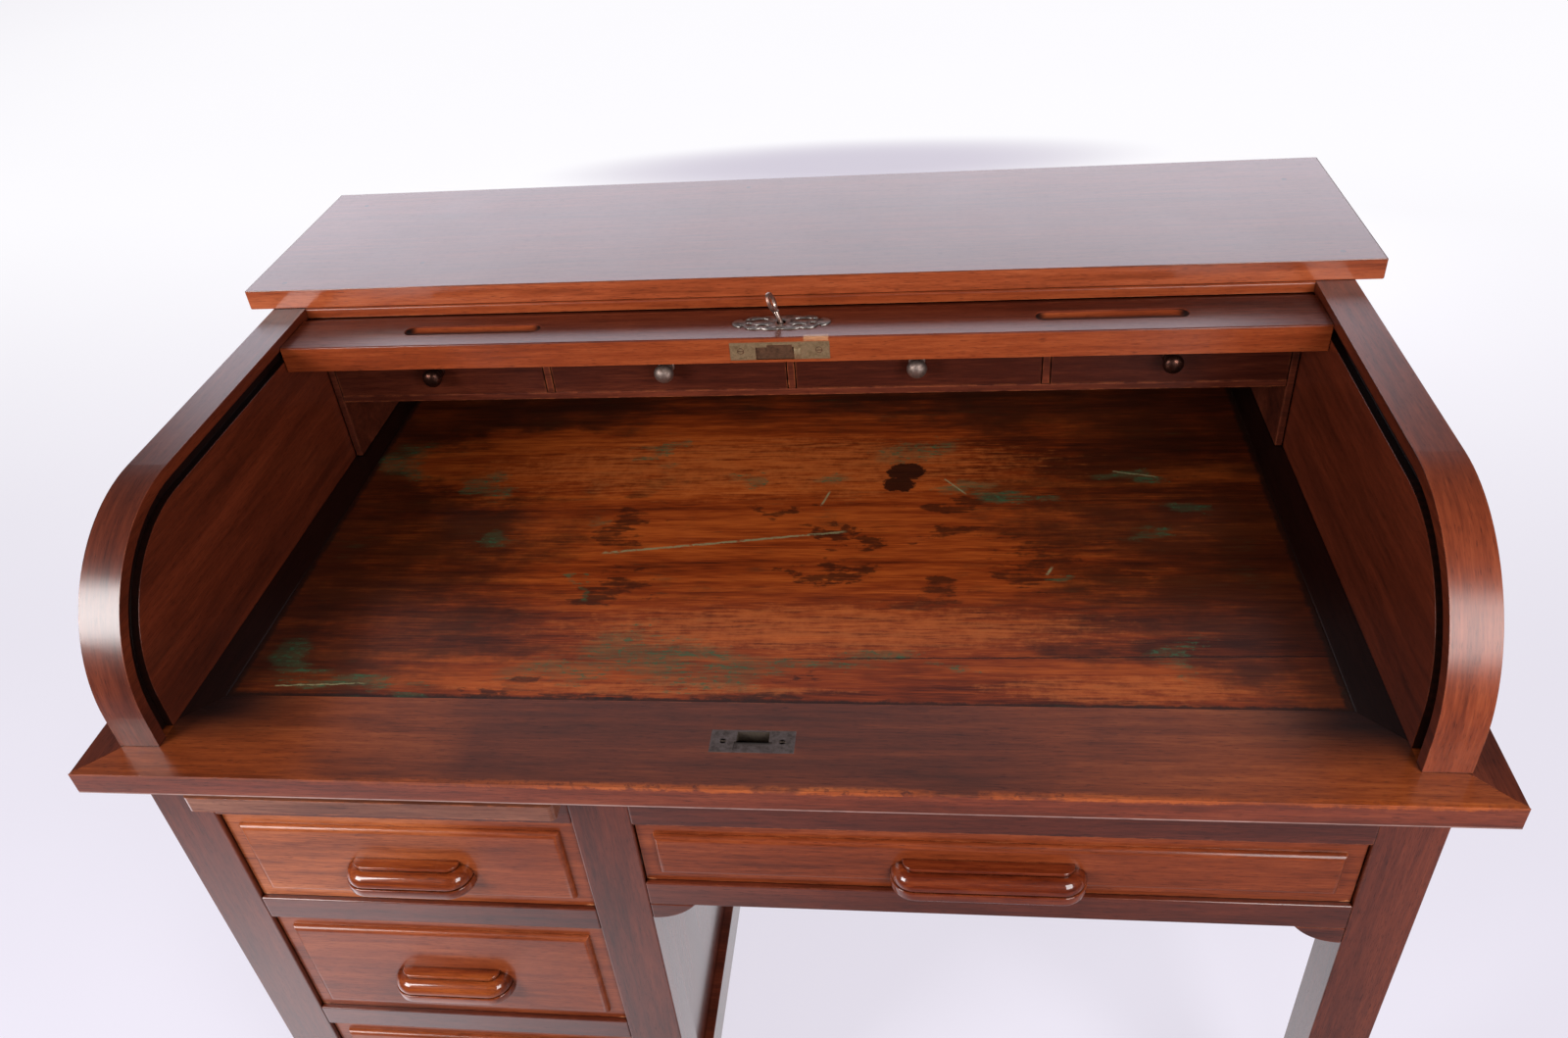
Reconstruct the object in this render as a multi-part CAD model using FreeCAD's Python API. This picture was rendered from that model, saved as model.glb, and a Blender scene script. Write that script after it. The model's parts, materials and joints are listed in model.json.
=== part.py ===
"""Roll-top writing desk with one pedestal, built piece by piece in millimetres.

X runs to the right, Y to the back and Z up. While the pieces are made, Y starts at the front edge
of the bed and Z at the floor; each piece is moved to the middle of the desk when it is saved.
"""
import FreeCAD
import Part
import math
import os

Vector = FreeCAD.Vector

# Overall sizes
width = 1200.0
depth = 775.0
bed_height = 745.0
bed_thickness = 24.0
case_height = 195.0
shelf_inset = 3.0
shelf_depth = 275.0
shelf_thickness = 22.0

# Clearances
slide_gap = 0.3
front_gap = 1.2
end_gap = 0.5
overrun = 5.0

# Posts, legs and pedestal
base_inset = 28.0
post_setback = 37.0
post_width = 55.5
post_depth = 48.0
pedestal_width = 455.5
plinth_height = 55.0
plinth_inset = 13.0
plinth_thickness = 25.0
panel_inset = 25.0
panel_thickness = 12.0
rail_depth = 23.0
rail_height = 32.0
pedestal_top_rail_height = 16.0
apron_height = 186.0

# Pedestal drawers, from the top, and the drawer over the kneehole
first_drawer_drop = 95.0
upper_drawer_heights = [128.0, 164.0]
bottom_rail_height = 39.0
drawer_recess = 5.0
drawer_front_thickness = 20.0
drawer_side_thickness = 10.0
drawer_bottom_thickness = 6.0
drawer_bottom_rise = 5.0
drawer_side_drop = 14.0
drawer_back_room = 93.0
wide_drawer_drop = 94.0
wide_drawer_height = 84.0
wide_drawer_back_room = 133.0
field_margin = 15.0
field_height = 6.0
field_round = 5.6
runner_width = 22.0
runner_height = 18.0
bracket_reach = 44.0
bracket_drop = 22.0

# Writing slide over the pedestal drawers
slide_top_drop = 41.0
slide_thickness = 18.0
slide_front = 10.5
slide_back_room = 222.5
slide_round = 5.0

# Wooden bar pulls
pull_width = 127.0
wide_pull_width = 174.0
pull_height = 30.0
pull_drop = 8.0
pull_reach = 23.0
pull_base_reach = 2.5
pull_wall = 5.0
pull_level_shares = [0.5, 0.46, 0.38, 0.32, 0.165, -0.047, -0.073, -0.12, -0.42, -0.5]
pull_reach_shares = [0.46, 0.50, 0.50, 0.73, 0.895, 0.957, 0.92, 1.0, 1.0, 0.95]
pull_corner_share = 0.62
pull_hollow_share = 0.72
pull_roof_share = 0.08

# Bed frame and writing panel
frame_width = 100.0
front_rail_width = 99.0
back_rail_width = 57.0
panel_sink = 0.6

# Curved sides and their groove
side_margin = 30.0
side_thickness = 38.0
side_front = 34.0
side_radius = 160.0
side_back_gap = 1.0
track_offset = 18.5
groove_slack = 0.8
groove_depth = 8.0

# Shelf fascia and back board
fascia_reach = 2.5
fascia_round = 2.4
fascia_depth = 20.0
fascia_gap = 1.5
back_board_thickness = 10.0
back_board_drop = 105.0

# Small drawer unit
unit_back_room = 46.0
unit_depth = 200.0
unit_rise = 75.0
unit_height = 81.0
unit_board = 8.0
unit_divider_pitch = 274.0
unit_back_thickness = 6.0
small_drawer_length = 178.0
small_front_thickness = 10.0
small_side_thickness = 6.0
small_bottom_thickness = 4.0
small_side_drop = 4.0
knob_radius = 10.8
knob_reach = 26.0
knob_neck_radius = 7.0
knob_base_radius = 9.0
knob_base_thickness = 2.5
knob_head_length = 15.0

# Tambour curtain
slat_thickness = 12.0
slat_round = 3.0
slat_gap = 0.25
bend_slat_count = 7
flat_slat_count = 3
tail_slat_count = 10
tail_room = 25.0
tongue_length = 6.8
canvas_thickness = 0.8
canvas_margin = 1.6
canvas_width = 1000.0

# Lead rail of the curtain
lead_length = 62.0
lead_thickness = 28.0
lead_below_canvas = 12.5
lead_round = 1.5
lead_bed_gap = 0.6
scoop_spacing = 660.0
scoop_length = 150.0
scoop_radius = 12.0
scoop_depth = 5.0
scoop_from_front = 33.0

# Lock, key, escutcheon and strike
lock_plate_width = 102.0
lock_plate_height = 20.0
lock_plate_thickness = 2.2
lock_plate_rise = 3.0
lock_case_width = 60.0
lock_case_depth = 36.0
lock_case_height = 15.0
bolt_width = 26.0
bolt_length = 16.0
bolt_height = 9.0
bolt_rise = 15.0
bolt_travel = 8.0
key_from_front = 31.0
key_hole_radius = 5.6
key_shaft_radius = 2.6
key_reach = 42.0
key_seat = 17.2
key_lean = 8.0
key_bow_width = 22.0
key_bow_bar = 4.0
key_bow_thickness = 3.4
key_collar_radius = 4.0
key_collar_height = 3.0
plate_screw_radius = 3.2
plate_screw_inset = 11.0
plate_screw_length = 14.0
screw_slot = 0.9
screw_slot_depth = 0.8
escutcheon_width = 102.0
escutcheon_height = 30.0
escutcheon_thickness = 1.4
escutcheon_x_shares = [1.0, 0.86, 0.8, 0.74, 0.58, 0.4, 0.2, 0.0]
escutcheon_y_shares = [0.0, 0.52, 0.2, 0.62, 0.88, 0.78, 1.0, 0.9]
strike_width = 73.0
strike_length = 25.5
strike_front = 40.5
strike_thickness = 2.2
strike_slack = 1.2
strike_pocket_depth = 15.0

# Places worked out from the sizes
half_width = width / 2
base_half = half_width - base_inset
bed_underside = bed_height - bed_thickness
shelf_underside = bed_height + case_height
front_face = post_setback
back_face = depth - post_setback
rear_post_front = back_face - post_depth
front_post_back = front_face + post_depth
bay_left = -base_half + post_width
knee_left = -base_half + pedestal_width
bay_right = knee_left - post_width
knee_right = base_half - post_width
panel_left = -base_half + panel_inset
panel_right = knee_left - panel_inset
side_inner = half_width - side_margin - side_thickness
side_back = depth - side_back_gap

# Curve that the curtain follows: the canvas is on the inner face of its slats
curve_y = side_front + side_radius
curve_z = shelf_underside - side_radius
canvas_radius = side_radius - track_offset - slat_thickness / 2
canvas_z = curve_z + canvas_radius
track_radius = side_radius - track_offset
groove_half = slat_thickness / 2 + groove_slack
lead_top_closed = bed_height + lead_bed_gap + lead_length
lead_angle = math.asin((lead_top_closed - curve_z) / canvas_radius)
slat_turn = (math.pi / 2 - lead_angle) / bend_slat_count
slat_pitch = 2 * canvas_radius * math.sin(slat_turn / 2)
lead_closed_y = curve_y - canvas_radius * math.cos(lead_angle)
tail_y = depth - tail_room
flat_start = tail_y - flat_slat_count * slat_pitch
lead_back = flat_start - bend_slat_count * slat_pitch
lead_front = lead_back - lead_length
curtain_travel = flat_start - curve_y
tail_length = tail_slat_count * slat_pitch
tail_back = tail_y + slat_thickness
slat_half = side_inner - end_gap
lead_bottom = canvas_z - lead_below_canvas
lead_top = lead_bottom + lead_thickness

# Lock places: the bolt's height on the rail sets where the strike's slot lies in the bed
bolt_z = lead_bottom + bolt_rise
bolt_closed_y = lead_closed_y + canvas_z - bolt_z
key_y = lead_front + key_from_front
lock_plate_bottom = lead_bottom + lock_plate_rise

# Bed places
notch_y = tail_y - canvas_thickness - groove_slack
panel_back = notch_y - back_rail_width
board_front = tail_back + groove_slack

# Small drawer unit places
unit_front = tail_y - unit_back_room - unit_back_thickness - unit_depth
unit_bottom = bed_height + unit_rise
unit_top = unit_bottom + unit_height
unit_end = side_inner - end_gap - unit_board
small_drawer_bottom = unit_bottom + unit_board + slide_gap
small_drawer_top = unit_top - unit_board - front_gap
knob_z = (small_drawer_bottom + small_drawer_top) / 2

# Drawer places
field_face = front_face + drawer_recess - field_height
front_board_face = front_face + drawer_recess
front_board_back = front_board_face + drawer_front_thickness
back_panel_face = back_face - plinth_inset - panel_thickness
drawer_length = back_panel_face - drawer_back_room - front_board_back
wide_drawer_length = back_panel_face - wide_drawer_back_room - front_board_back
slide_length = back_panel_face - slide_back_room - slide_front


def drawer_levels():
    """Bottom and top of each pedestal drawer's opening, from the top drawer down."""
    levels = []
    top = bed_height - first_drawer_drop
    for height in upper_drawer_heights:
        levels.append((top - height, top))
        top = top - height - rail_height
    levels.append((plinth_height + bottom_rail_height, top))
    return levels


levels = drawer_levels()
wide_top = bed_height - wide_drawer_drop
wide_bottom = wide_top - wide_drawer_height
slide_top = bed_height - slide_top_drop
slide_bottom = slide_top - slide_thickness

nodes = {}


def box(x0, x1, y0, y1, z0, z1):
    return Part.makeBox(x1 - x0, y1 - y0, z1 - z0, Vector(x0, y0, z0))


def outline_z(points, z0, z1):
    """An (x, y) outline drawn out along Z."""
    corners = [Vector(x, y, z0) for x, y in points]
    face = Part.Face(Part.makePolygon(corners + corners[:1]))
    return face.extrude(Vector(0, 0, z1 - z0))


def mirrored(shape):
    return shape.mirror(Vector(0, 0, 0), Vector(1, 0, 0))


def edges_where(shape, test):
    """Edges whose two ends both pass the test."""
    return [edge for edge in shape.Edges if all(test(v.Point) for v in edge.Vertexes)]


def near(value, target):
    return abs(value - target) < slide_gap


def make_posts():
    columns = [
        ("post_front_left", -base_half, front_face),
        ("post_front_centre", bay_right, front_face),
        ("leg_front_right", knee_right, front_face),
        ("post_back_left", -base_half, rear_post_front),
        ("post_back_centre", bay_right, rear_post_front),
        ("leg_back_right", knee_right, rear_post_front),
    ]
    for name, x, y in columns:
        nodes[name] = [box(x, x + post_width, y, y + post_depth, 0, bed_underside)]


def make_pedestal():
    panel_y = (front_post_back, rear_post_front)
    nodes["pedestal_side_left"] = [
        box(panel_left, panel_left + panel_thickness, *panel_y, plinth_height, bed_underside)]
    nodes["pedestal_side_right"] = [
        box(panel_right - panel_thickness, panel_right, *panel_y, plinth_height, bed_underside)]
    plinth_left = -base_half + plinth_inset
    plinth_right = knee_left - plinth_inset
    plinth_front = front_face + plinth_inset
    plinth_back = back_face - plinth_inset
    nodes["pedestal_plinth"] = [
        box(plinth_left, plinth_left + plinth_thickness, *panel_y, 0, plinth_height),
        box(plinth_right - plinth_thickness, plinth_right, *panel_y, 0, plinth_height),
        box(bay_left, bay_right, plinth_front, plinth_front + plinth_thickness, 0, plinth_height),
        box(bay_left, bay_right, plinth_back - plinth_thickness, plinth_back, 0, plinth_height),
    ]
    back_y = back_face - plinth_inset
    nodes["pedestal_back"] = [
        box(bay_left, bay_right, back_y - panel_thickness, back_y, plinth_height, bed_underside)]


def make_front_rails():
    rail_back = front_face + rail_depth
    bay = (bay_left, bay_right, front_face, rail_back)
    rails = [box(*bay, bed_underside - pedestal_top_rail_height, bed_underside)]
    rails.append(box(*bay, levels[0][1] + slide_gap, slide_bottom - slide_gap))
    for upper, lower in zip(levels[:-1], levels[1:]):
        rails.append(box(*bay, lower[1] + slide_gap, upper[0] - slide_gap))
    rails.append(box(*bay, plinth_height, levels[-1][0] - slide_gap))
    nodes["pedestal_rails"] = rails
    knee = (knee_left, knee_right, front_face, rail_back)
    nodes["kneehole_top_rail"] = [box(*knee, wide_top + slide_gap, bed_underside)]
    rail_top = wide_bottom - slide_gap
    rail_bottom = rail_top - rail_height
    rail = box(*knee, rail_bottom, rail_top)
    nodes["kneehole_rail"] = [rail]
    radius = (bracket_reach ** 2 + bracket_drop ** 2) / (2 * bracket_drop)
    bulge = Part.makeCylinder(
        radius, rail_depth, Vector(knee_left, front_face, rail_bottom - bracket_drop + radius), Vector(0, 1, 0))
    block = box(knee_left, knee_left + bracket_reach, front_face, rail_back, rail_bottom - bracket_drop, rail_bottom)
    bracket = block.common(bulge)
    middle = (knee_left + knee_right) / 2
    other = bracket.mirror(Vector(middle, 0, 0), Vector(1, 0, 0))
    nodes["kneehole_brackets"] = [bracket, other]
    apron_x = base_half - panel_inset
    nodes["kneehole_aprons"] = [
        box(apron_x - panel_thickness, apron_x, front_post_back, rear_post_front,
            bed_underside - apron_height, bed_underside),
        box(knee_left, knee_right, back_face - plinth_inset - panel_thickness, back_face - plinth_inset,
            bed_underside - apron_height, bed_underside),
    ]


def make_runners():
    """Runners fixed to the panels: drawers and the slide rest on the strips that reach under them."""
    left_wall = panel_left + panel_thickness
    right_wall = panel_right - panel_thickness
    strips = []
    tops = [low - slide_gap for low, high in levels] + [slide_bottom - slide_gap]
    for top in tops:
        low = top - runner_height
        strips.append(box(left_wall, bay_left + runner_width, front_post_back, rear_post_front, low, top))
        strips.append(box(bay_right - runner_width, right_wall, front_post_back, rear_post_front, low, top))
    knee_top = wide_bottom - slide_gap
    knee_low = knee_top - runner_height
    apron_wall = base_half - panel_inset - panel_thickness
    strips.append(box(panel_right, knee_left + runner_width, front_post_back, rear_post_front, knee_low, knee_top))
    strips.append(box(knee_right - runner_width, apron_wall, front_post_back, rear_post_front, knee_low, knee_top))
    nodes["drawer_runners"] = strips


def drawer_box(x0, x1, y0, length, z0, z1, wall, floor, rise):
    """Sides, back and bottom of a drawer behind its front, each a board of its own."""
    y1 = y0 + length
    return [
        box(x0, x0 + wall, y0, y1, z0, z1),
        box(x1 - wall, x1, y0, y1, z0, z1),
        box(x0 + wall, x1 - wall, y1 - wall, y1, z0 + rise, z1),
        box(x0 + wall, x1 - wall, y0, y1 - wall, z0 + rise, z0 + rise + floor),
    ]


def fielded_front(x0, x1, z0, z1):
    """A drawer front with a raised field that has a rounded shoulder."""
    board = box(x0, x1, front_board_face, front_board_back, z0, z1)
    field = box(x0 + field_margin, x1 - field_margin, field_face, front_board_face + slide_gap,
                z0 + field_margin, z1 - field_margin)
    rim = edges_where(field, lambda p: near(p.y, field_face))
    return board.fuse(field.makeFillet(field_round, rim)).removeSplitter()


def pull(x, z, across, face):
    """A moulded bar pull: outlines with cut corners at rising levels, joined and hollowed below."""
    half = across / 2
    outlines = []
    for level_share, reach_share in zip(pull_level_shares, pull_reach_shares):
        reach = pull_reach * reach_share
        end = half - (pull_reach - reach)
        corner = reach * pull_corner_share
        level = z + pull_height * level_share
        points = [(-end, 0), (-end, corner - reach), (corner - end, -reach),
                  (end - corner, -reach), (end, corner - reach), (end, 0)]
        corners = [Vector(x + px, face + py, level) for px, py in points]
        outlines.append(Part.makePolygon(corners + corners[:1]))
    solid = Part.makeLoft(outlines, True, True)
    hollow_half = half * pull_hollow_share
    roof = z - pull_height * pull_roof_share
    bottom = z - pull_height / 2 - overrun
    hollow = box(x - hollow_half, x + hollow_half, face - pull_reach * pull_reach_shares[-1] + pull_wall,
                 face - pull_base_reach, bottom, roof)
    return solid.cut(hollow)


def make_drawers():
    middle = (bay_left + bay_right) / 2
    for number, (low, high) in enumerate(levels, start=1):
        x0 = bay_left + front_gap
        x1 = bay_right - front_gap
        front = fielded_front(x0, x1, low, high - front_gap)
        boards = drawer_box(x0, x1, front_board_back, drawer_length, low, high - drawer_side_drop - front_gap,
                            drawer_side_thickness, drawer_bottom_thickness, drawer_bottom_rise)
        nodes["pedestal_drawer_%d" % number] = [front] + boards
        nodes["pedestal_pull_%d" % number] = [pull(middle, (low + high) / 2 - pull_drop, pull_width, field_face)]
    x0 = knee_left + front_gap
    x1 = knee_right - front_gap
    front = fielded_front(x0, x1, wide_bottom, wide_top - front_gap)
    boards = drawer_box(x0, x1, front_board_back, wide_drawer_length, wide_bottom,
                        wide_top - drawer_side_drop - front_gap,
                        drawer_side_thickness, drawer_bottom_thickness, drawer_bottom_rise)
    nodes["wide_drawer"] = [front] + boards
    nodes["wide_pull"] = [
        pull((knee_left + knee_right) / 2, (wide_bottom + wide_top) / 2 - pull_drop, wide_pull_width, field_face)]


def make_writing_slide():
    x0 = bay_left + front_gap
    x1 = bay_right - front_gap
    board = box(x0, x1, slide_front, slide_front + slide_length, slide_bottom, slide_top)
    corners = edges_where(board, lambda p: near(p.y, slide_front))
    upright = [edge for edge in corners if near(edge.Length, slide_thickness)]
    nodes["writing_slide"] = [board.makeFillet(slide_round, upright)]


def screw(x, y, z, axis, length):
    """A countersunk screw seen as a flat slotted disc, with its shank along the axis."""
    centre = Vector(x, y, z)
    return Part.makeCylinder(plate_screw_radius, length, centre, axis)


def make_bed():
    inner = half_width - frame_width
    front = outline_z([(-half_width, 0), (half_width, 0), (inner, front_rail_width),
                       (-inner, front_rail_width)], bed_underside, bed_height)
    plate_half = strike_width / 2
    plate_bed = box(-plate_half, plate_half, strike_front, strike_front + strike_length,
                    bed_height - strike_thickness, bed_height + overrun)
    slot_x = bolt_width / 2 + strike_slack
    slot_y = bolt_height / 2 + strike_slack
    pocket = box(-slot_x, slot_x, bolt_closed_y - slot_y, bolt_closed_y + slot_y,
                 bed_height - strike_pocket_depth, bed_height + overrun)
    front = front.cut(plate_bed).cut(pocket)
    plate = box(-plate_half, plate_half, strike_front, strike_front + strike_length,
                bed_height - strike_thickness, bed_height)
    plate = plate.cut(pocket)
    screws = []
    for side in (-1, 1):
        x = side * (plate_half - plate_screw_inset)
        y = strike_front + strike_length / 2
        hole = screw(x, y, bed_height, Vector(0, 0, -1), plate_screw_length)
        slot = box(x - plate_screw_radius, x + plate_screw_radius, y - screw_slot / 2, y + screw_slot / 2,
                   bed_height - screw_slot_depth, bed_height + overrun)
        front = front.cut(hole)
        plate = plate.cut(hole)
        screws.append(hole.cut(slot))
    nodes["bed_front_rail"] = [front]
    nodes["strike_plate"] = [plate] + screws
    left = outline_z([(-half_width, 0), (-inner, front_rail_width), (-inner, notch_y), (-side_inner, notch_y),
                      (-side_inner, depth), (-half_width, depth)], bed_underside, bed_height)
    nodes["bed_left_rail"] = [left]
    nodes["bed_right_rail"] = [mirrored(left)]
    nodes["bed_back_rail"] = [box(-inner, inner, panel_back, notch_y, bed_underside, bed_height)]
    nodes["writing_panel"] = [
        box(-inner, inner, front_rail_width, panel_back, bed_underside, bed_height - panel_sink)]


def ring_sector(radius_in, radius_out, x0, x1):
    """A quarter ring in the YZ plane at the front curve of the sides."""
    ring = Part.makeCylinder(radius_out, x1 - x0, Vector(x0, curve_y, curve_z), Vector(1, 0, 0))
    ring = ring.cut(Part.makeCylinder(radius_in, x1 - x0, Vector(x0, curve_y, curve_z), Vector(1, 0, 0)))
    quarter = box(x0, x1, curve_y - radius_out, curve_y, curve_z, curve_z + radius_out)
    return ring.common(quarter)


def make_sides():
    x0 = side_inner
    x1 = side_inner + side_thickness
    cylinder = Part.makeCylinder(side_radius, side_thickness, Vector(x0, curve_y, curve_z), Vector(1, 0, 0))
    corner = box(x0, x1, side_front, curve_y, curve_z, shelf_underside)
    panel = cylinder.common(corner)
    panel = panel.fuse(box(x0, x1, side_front, curve_y, bed_height, curve_z))
    panel = panel.fuse(box(x0, x1, curve_y, side_back, bed_height, shelf_underside)).removeSplitter()
    groove_x = (x0 - overrun, x0 + groove_depth)
    inside = track_radius - groove_half
    outside = track_radius + groove_half
    flat_z = curve_z + track_radius
    rear_back = tail_back + groove_slack
    cuts = [
        ring_sector(inside, outside, *groove_x),
        box(*groove_x, curve_y - outside, curve_y - inside, bed_height - overrun, curve_z),
        box(*groove_x, curve_y, rear_back, flat_z - groove_half, flat_z + groove_half),
        box(*groove_x, notch_y, rear_back, bed_height - overrun, flat_z),
    ]
    for cut in cuts:
        panel = panel.cut(cut)
    nodes["side_right"] = [panel]
    nodes["side_left"] = [mirrored(panel)]


def make_top():
    shelf_half = half_width - shelf_inset
    shelf_front = depth - shelf_depth
    nodes["shelf"] = [
        box(-shelf_half, shelf_half, shelf_front, depth, shelf_underside, shelf_underside + shelf_thickness)]
    fascia_front = shelf_front - fascia_reach
    fascia_bottom = canvas_z + slat_thickness + fascia_gap
    fascia = box(-side_inner, side_inner, fascia_front, fascia_front + fascia_depth, fascia_bottom, shelf_underside)
    nose = edges_where(fascia, lambda p: near(p.z, shelf_underside) and near(p.y, fascia_front))
    nodes["shelf_fascia"] = [fascia.makeFillet(fascia_round, nose)]
    nodes["case_back"] = [
        box(-slat_half, slat_half, board_front, board_front + back_board_thickness,
            bed_height - back_board_drop, shelf_underside)]


def divider_places():
    return [-unit_divider_pitch, 0, unit_divider_pitch]


def make_drawer_unit():
    unit_back = unit_front + unit_depth
    inner_top = unit_top - unit_board
    inner_bottom = unit_bottom + unit_board
    nodes["unit_boards"] = [
        box(-unit_end, unit_end, unit_front, unit_back, unit_bottom, inner_bottom),
        box(-unit_end, unit_end, unit_front, unit_back, inner_top, unit_top),
        box(-unit_end, unit_end, unit_back, unit_back + unit_back_thickness, unit_bottom, unit_top),
    ]
    half = unit_board / 2
    uprights = [box(x - half, x + half, unit_front, unit_back, inner_bottom, inner_top) for x in divider_places()]
    end = box(unit_end, unit_end + unit_board, unit_front, unit_back, bed_height, unit_top)
    nodes["unit_uprights"] = uprights + [end, mirrored(end)]


def small_drawer_spans():
    """Left and right edge of each small drawer's front."""
    half = unit_board / 2
    edges = [-unit_end - half] + divider_places() + [unit_end + half]
    spans = []
    for left, right in zip(edges[:-1], edges[1:]):
        spans.append((left + half + front_gap, right - half - front_gap))
    return spans


def make_small_drawers():
    front_back = unit_front + small_front_thickness
    box_length = small_drawer_length - small_front_thickness
    for number, (x0, x1) in enumerate(small_drawer_spans(), start=1):
        front = box(x0, x1, unit_front, front_back, small_drawer_bottom, small_drawer_top)
        boards = drawer_box(x0, x1, front_back, box_length, small_drawer_bottom,
                            small_drawer_top - small_side_drop, small_side_thickness, small_bottom_thickness, 0)
        nodes["small_drawer_%d" % number] = [front] + boards
        nodes["small_knob_%d" % number] = [knob((x0 + x1) / 2)]


def knob(x):
    """A turned knob: base washer, neck and a rounded head."""
    tip = unit_front - knob_reach
    head_back = tip + knob_head_length
    base = Part.makeCylinder(knob_base_radius, knob_base_thickness, Vector(x, unit_front, knob_z), Vector(0, -1, 0))
    neck = Part.makeCylinder(knob_neck_radius, unit_front - head_back, Vector(x, unit_front, knob_z), Vector(0, -1, 0))
    stretch = FreeCAD.Matrix()
    stretch.scale(1, knob_head_length / (2 * knob_radius), 1)
    head = Part.makeSphere(knob_radius).transformGeometry(stretch)
    head.translate(Vector(x, tip + knob_head_length / 2, knob_z))
    return base.fuse(neck).fuse(head)


def slat(y0, half_length):
    """One curtain slat lying flat, its outer long edges rounded, with its strip of canvas below."""
    y1 = y0 + slat_pitch - slat_gap
    top = canvas_z + slat_thickness
    bar = box(-half_length, half_length, y0, y1, canvas_z, top)
    long_top = [e for e in edges_where(bar, lambda p: near(p.z, top)) if e.Length > slat_pitch]
    bar = bar.makeFillet(slat_round, long_top)
    strip = box(-canvas_width / 2, canvas_width / 2, y0 + canvas_margin, y1 - canvas_margin,
                canvas_z - canvas_thickness, canvas_z)
    return [bar, strip]


def make_curtain():
    for number in range(1, bend_slat_count + 1):
        y0 = lead_back + (number - 1) * slat_pitch + slat_gap
        nodes["tambour_slat_%d" % number] = slat(y0, slat_half)
    flat = []
    for number in range(flat_slat_count):
        flat += slat(flat_start + number * slat_pitch + slat_gap, side_inner + tongue_length)
    nodes["tambour_flat_slats"] = flat
    tail = []
    for number in range(tail_slat_count):
        for shape in slat(tail_y + number * slat_pitch + slat_gap, slat_half):
            tail.append(shape.rotated(Vector(0, tail_y, canvas_z), Vector(1, 0, 0), -math.degrees(math.pi / 2)))
    nodes["tambour_tail"] = tail


def scoop(x):
    """A long finger hollow with rounded ends."""
    centre_z = lead_top - scoop_depth + scoop_radius
    reach = math.sqrt(scoop_radius ** 2 - (scoop_radius - scoop_depth) ** 2)
    straight = scoop_length - 2 * reach
    start = Vector(x - straight / 2, lead_front + scoop_from_front, centre_z)
    bar = Part.makeCylinder(scoop_radius, straight, start, Vector(1, 0, 0))
    first = Part.makeSphere(scoop_radius, start)
    last = Part.makeSphere(scoop_radius, start + Vector(straight, 0, 0))
    return bar.fuse(first).fuse(last)


def lock_cuts():
    """Hollows that the lock and the key need in the rail: plate bed, case pocket and keyhole."""
    plate_half = lock_plate_width / 2
    case_half = lock_case_width / 2
    case_low = bolt_z - lock_case_height / 2
    case_high = bolt_z + lock_case_height / 2
    plate = box(-plate_half, plate_half, lead_front - overrun, lead_front + lock_plate_thickness,
                lock_plate_bottom, lock_plate_bottom + lock_plate_height)
    case = box(-case_half, case_half, lead_front - overrun, lead_front + lock_plate_thickness + lock_case_depth,
               case_low, case_high)
    hole = Part.makeCylinder(key_hole_radius, lead_top - case_high + overrun, Vector(0, key_y, case_high),
                             Vector(0, 0, 1))
    return plate, case, hole


def make_lead_rail():
    rail = box(-slat_half, slat_half, lead_front, lead_back, lead_bottom, lead_top)
    front_top = edges_where(rail, lambda p: near(p.z, lead_top) and near(p.y, lead_front))
    rail = rail.makeFillet(lead_round, front_top)
    for side in (-1, 1):
        rail = rail.cut(scoop(side * scoop_spacing / 2))
    plate, case, hole = lock_cuts()
    rail = rail.cut(plate).cut(case).cut(hole)
    screws = []
    plate_half = lock_plate_width / 2
    for side in (-1, 1):
        x = side * (plate_half - plate_screw_inset)
        z = lock_plate_bottom + lock_plate_height / 2
        shank = screw(x, lead_front, z, Vector(0, 1, 0), plate_screw_length)
        slot = box(x - screw_slot / 2, x + screw_slot / 2, lead_front - overrun, lead_front + screw_slot_depth,
                   z - plate_screw_radius, z + plate_screw_radius)
        rail = rail.cut(shank)
        screws.append((shank, shank.cut(slot)))
    nodes["lead_rail"] = [rail]
    make_lock(screws)


def make_lock(screws):
    plate_half = lock_plate_width / 2
    plate = box(-plate_half, plate_half, lead_front, lead_front + lock_plate_thickness,
                lock_plate_bottom, lock_plate_bottom + lock_plate_height)
    case_half = lock_case_width / 2 - slide_gap
    case_low = bolt_z - lock_case_height / 2 + slide_gap
    case_high = bolt_z + lock_case_height / 2 - slide_gap
    case = box(-case_half, case_half, lead_front + lock_plate_thickness,
               lead_front + lock_plate_thickness + lock_case_depth - slide_gap, case_low, case_high)
    body = plate.fuse(case)
    channel_x = bolt_width / 2 + slide_gap
    channel_z = bolt_height / 2 + slide_gap
    channel = box(-channel_x, channel_x, lead_front - overrun, lead_front + bolt_length + slide_gap + bolt_travel,
                  bolt_z - channel_z, bolt_z + channel_z)
    hole = Part.makeCylinder(key_hole_radius, lead_thickness, Vector(0, key_y, bolt_z - channel_z), Vector(0, 0, 1))
    body = body.cut(channel).cut(hole)
    heads = []
    for shank, head in screws:
        body = body.cut(shank)
        heads.append(head)
    nodes["lock_body"] = [body] + heads
    half = bolt_width / 2
    nodes["lock_bolt"] = [
        box(-half, half, lead_front + slide_gap, lead_front + slide_gap + bolt_length,
            bolt_z - bolt_height / 2, bolt_z + bolt_height / 2)]
    make_escutcheon()
    make_key()


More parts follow.
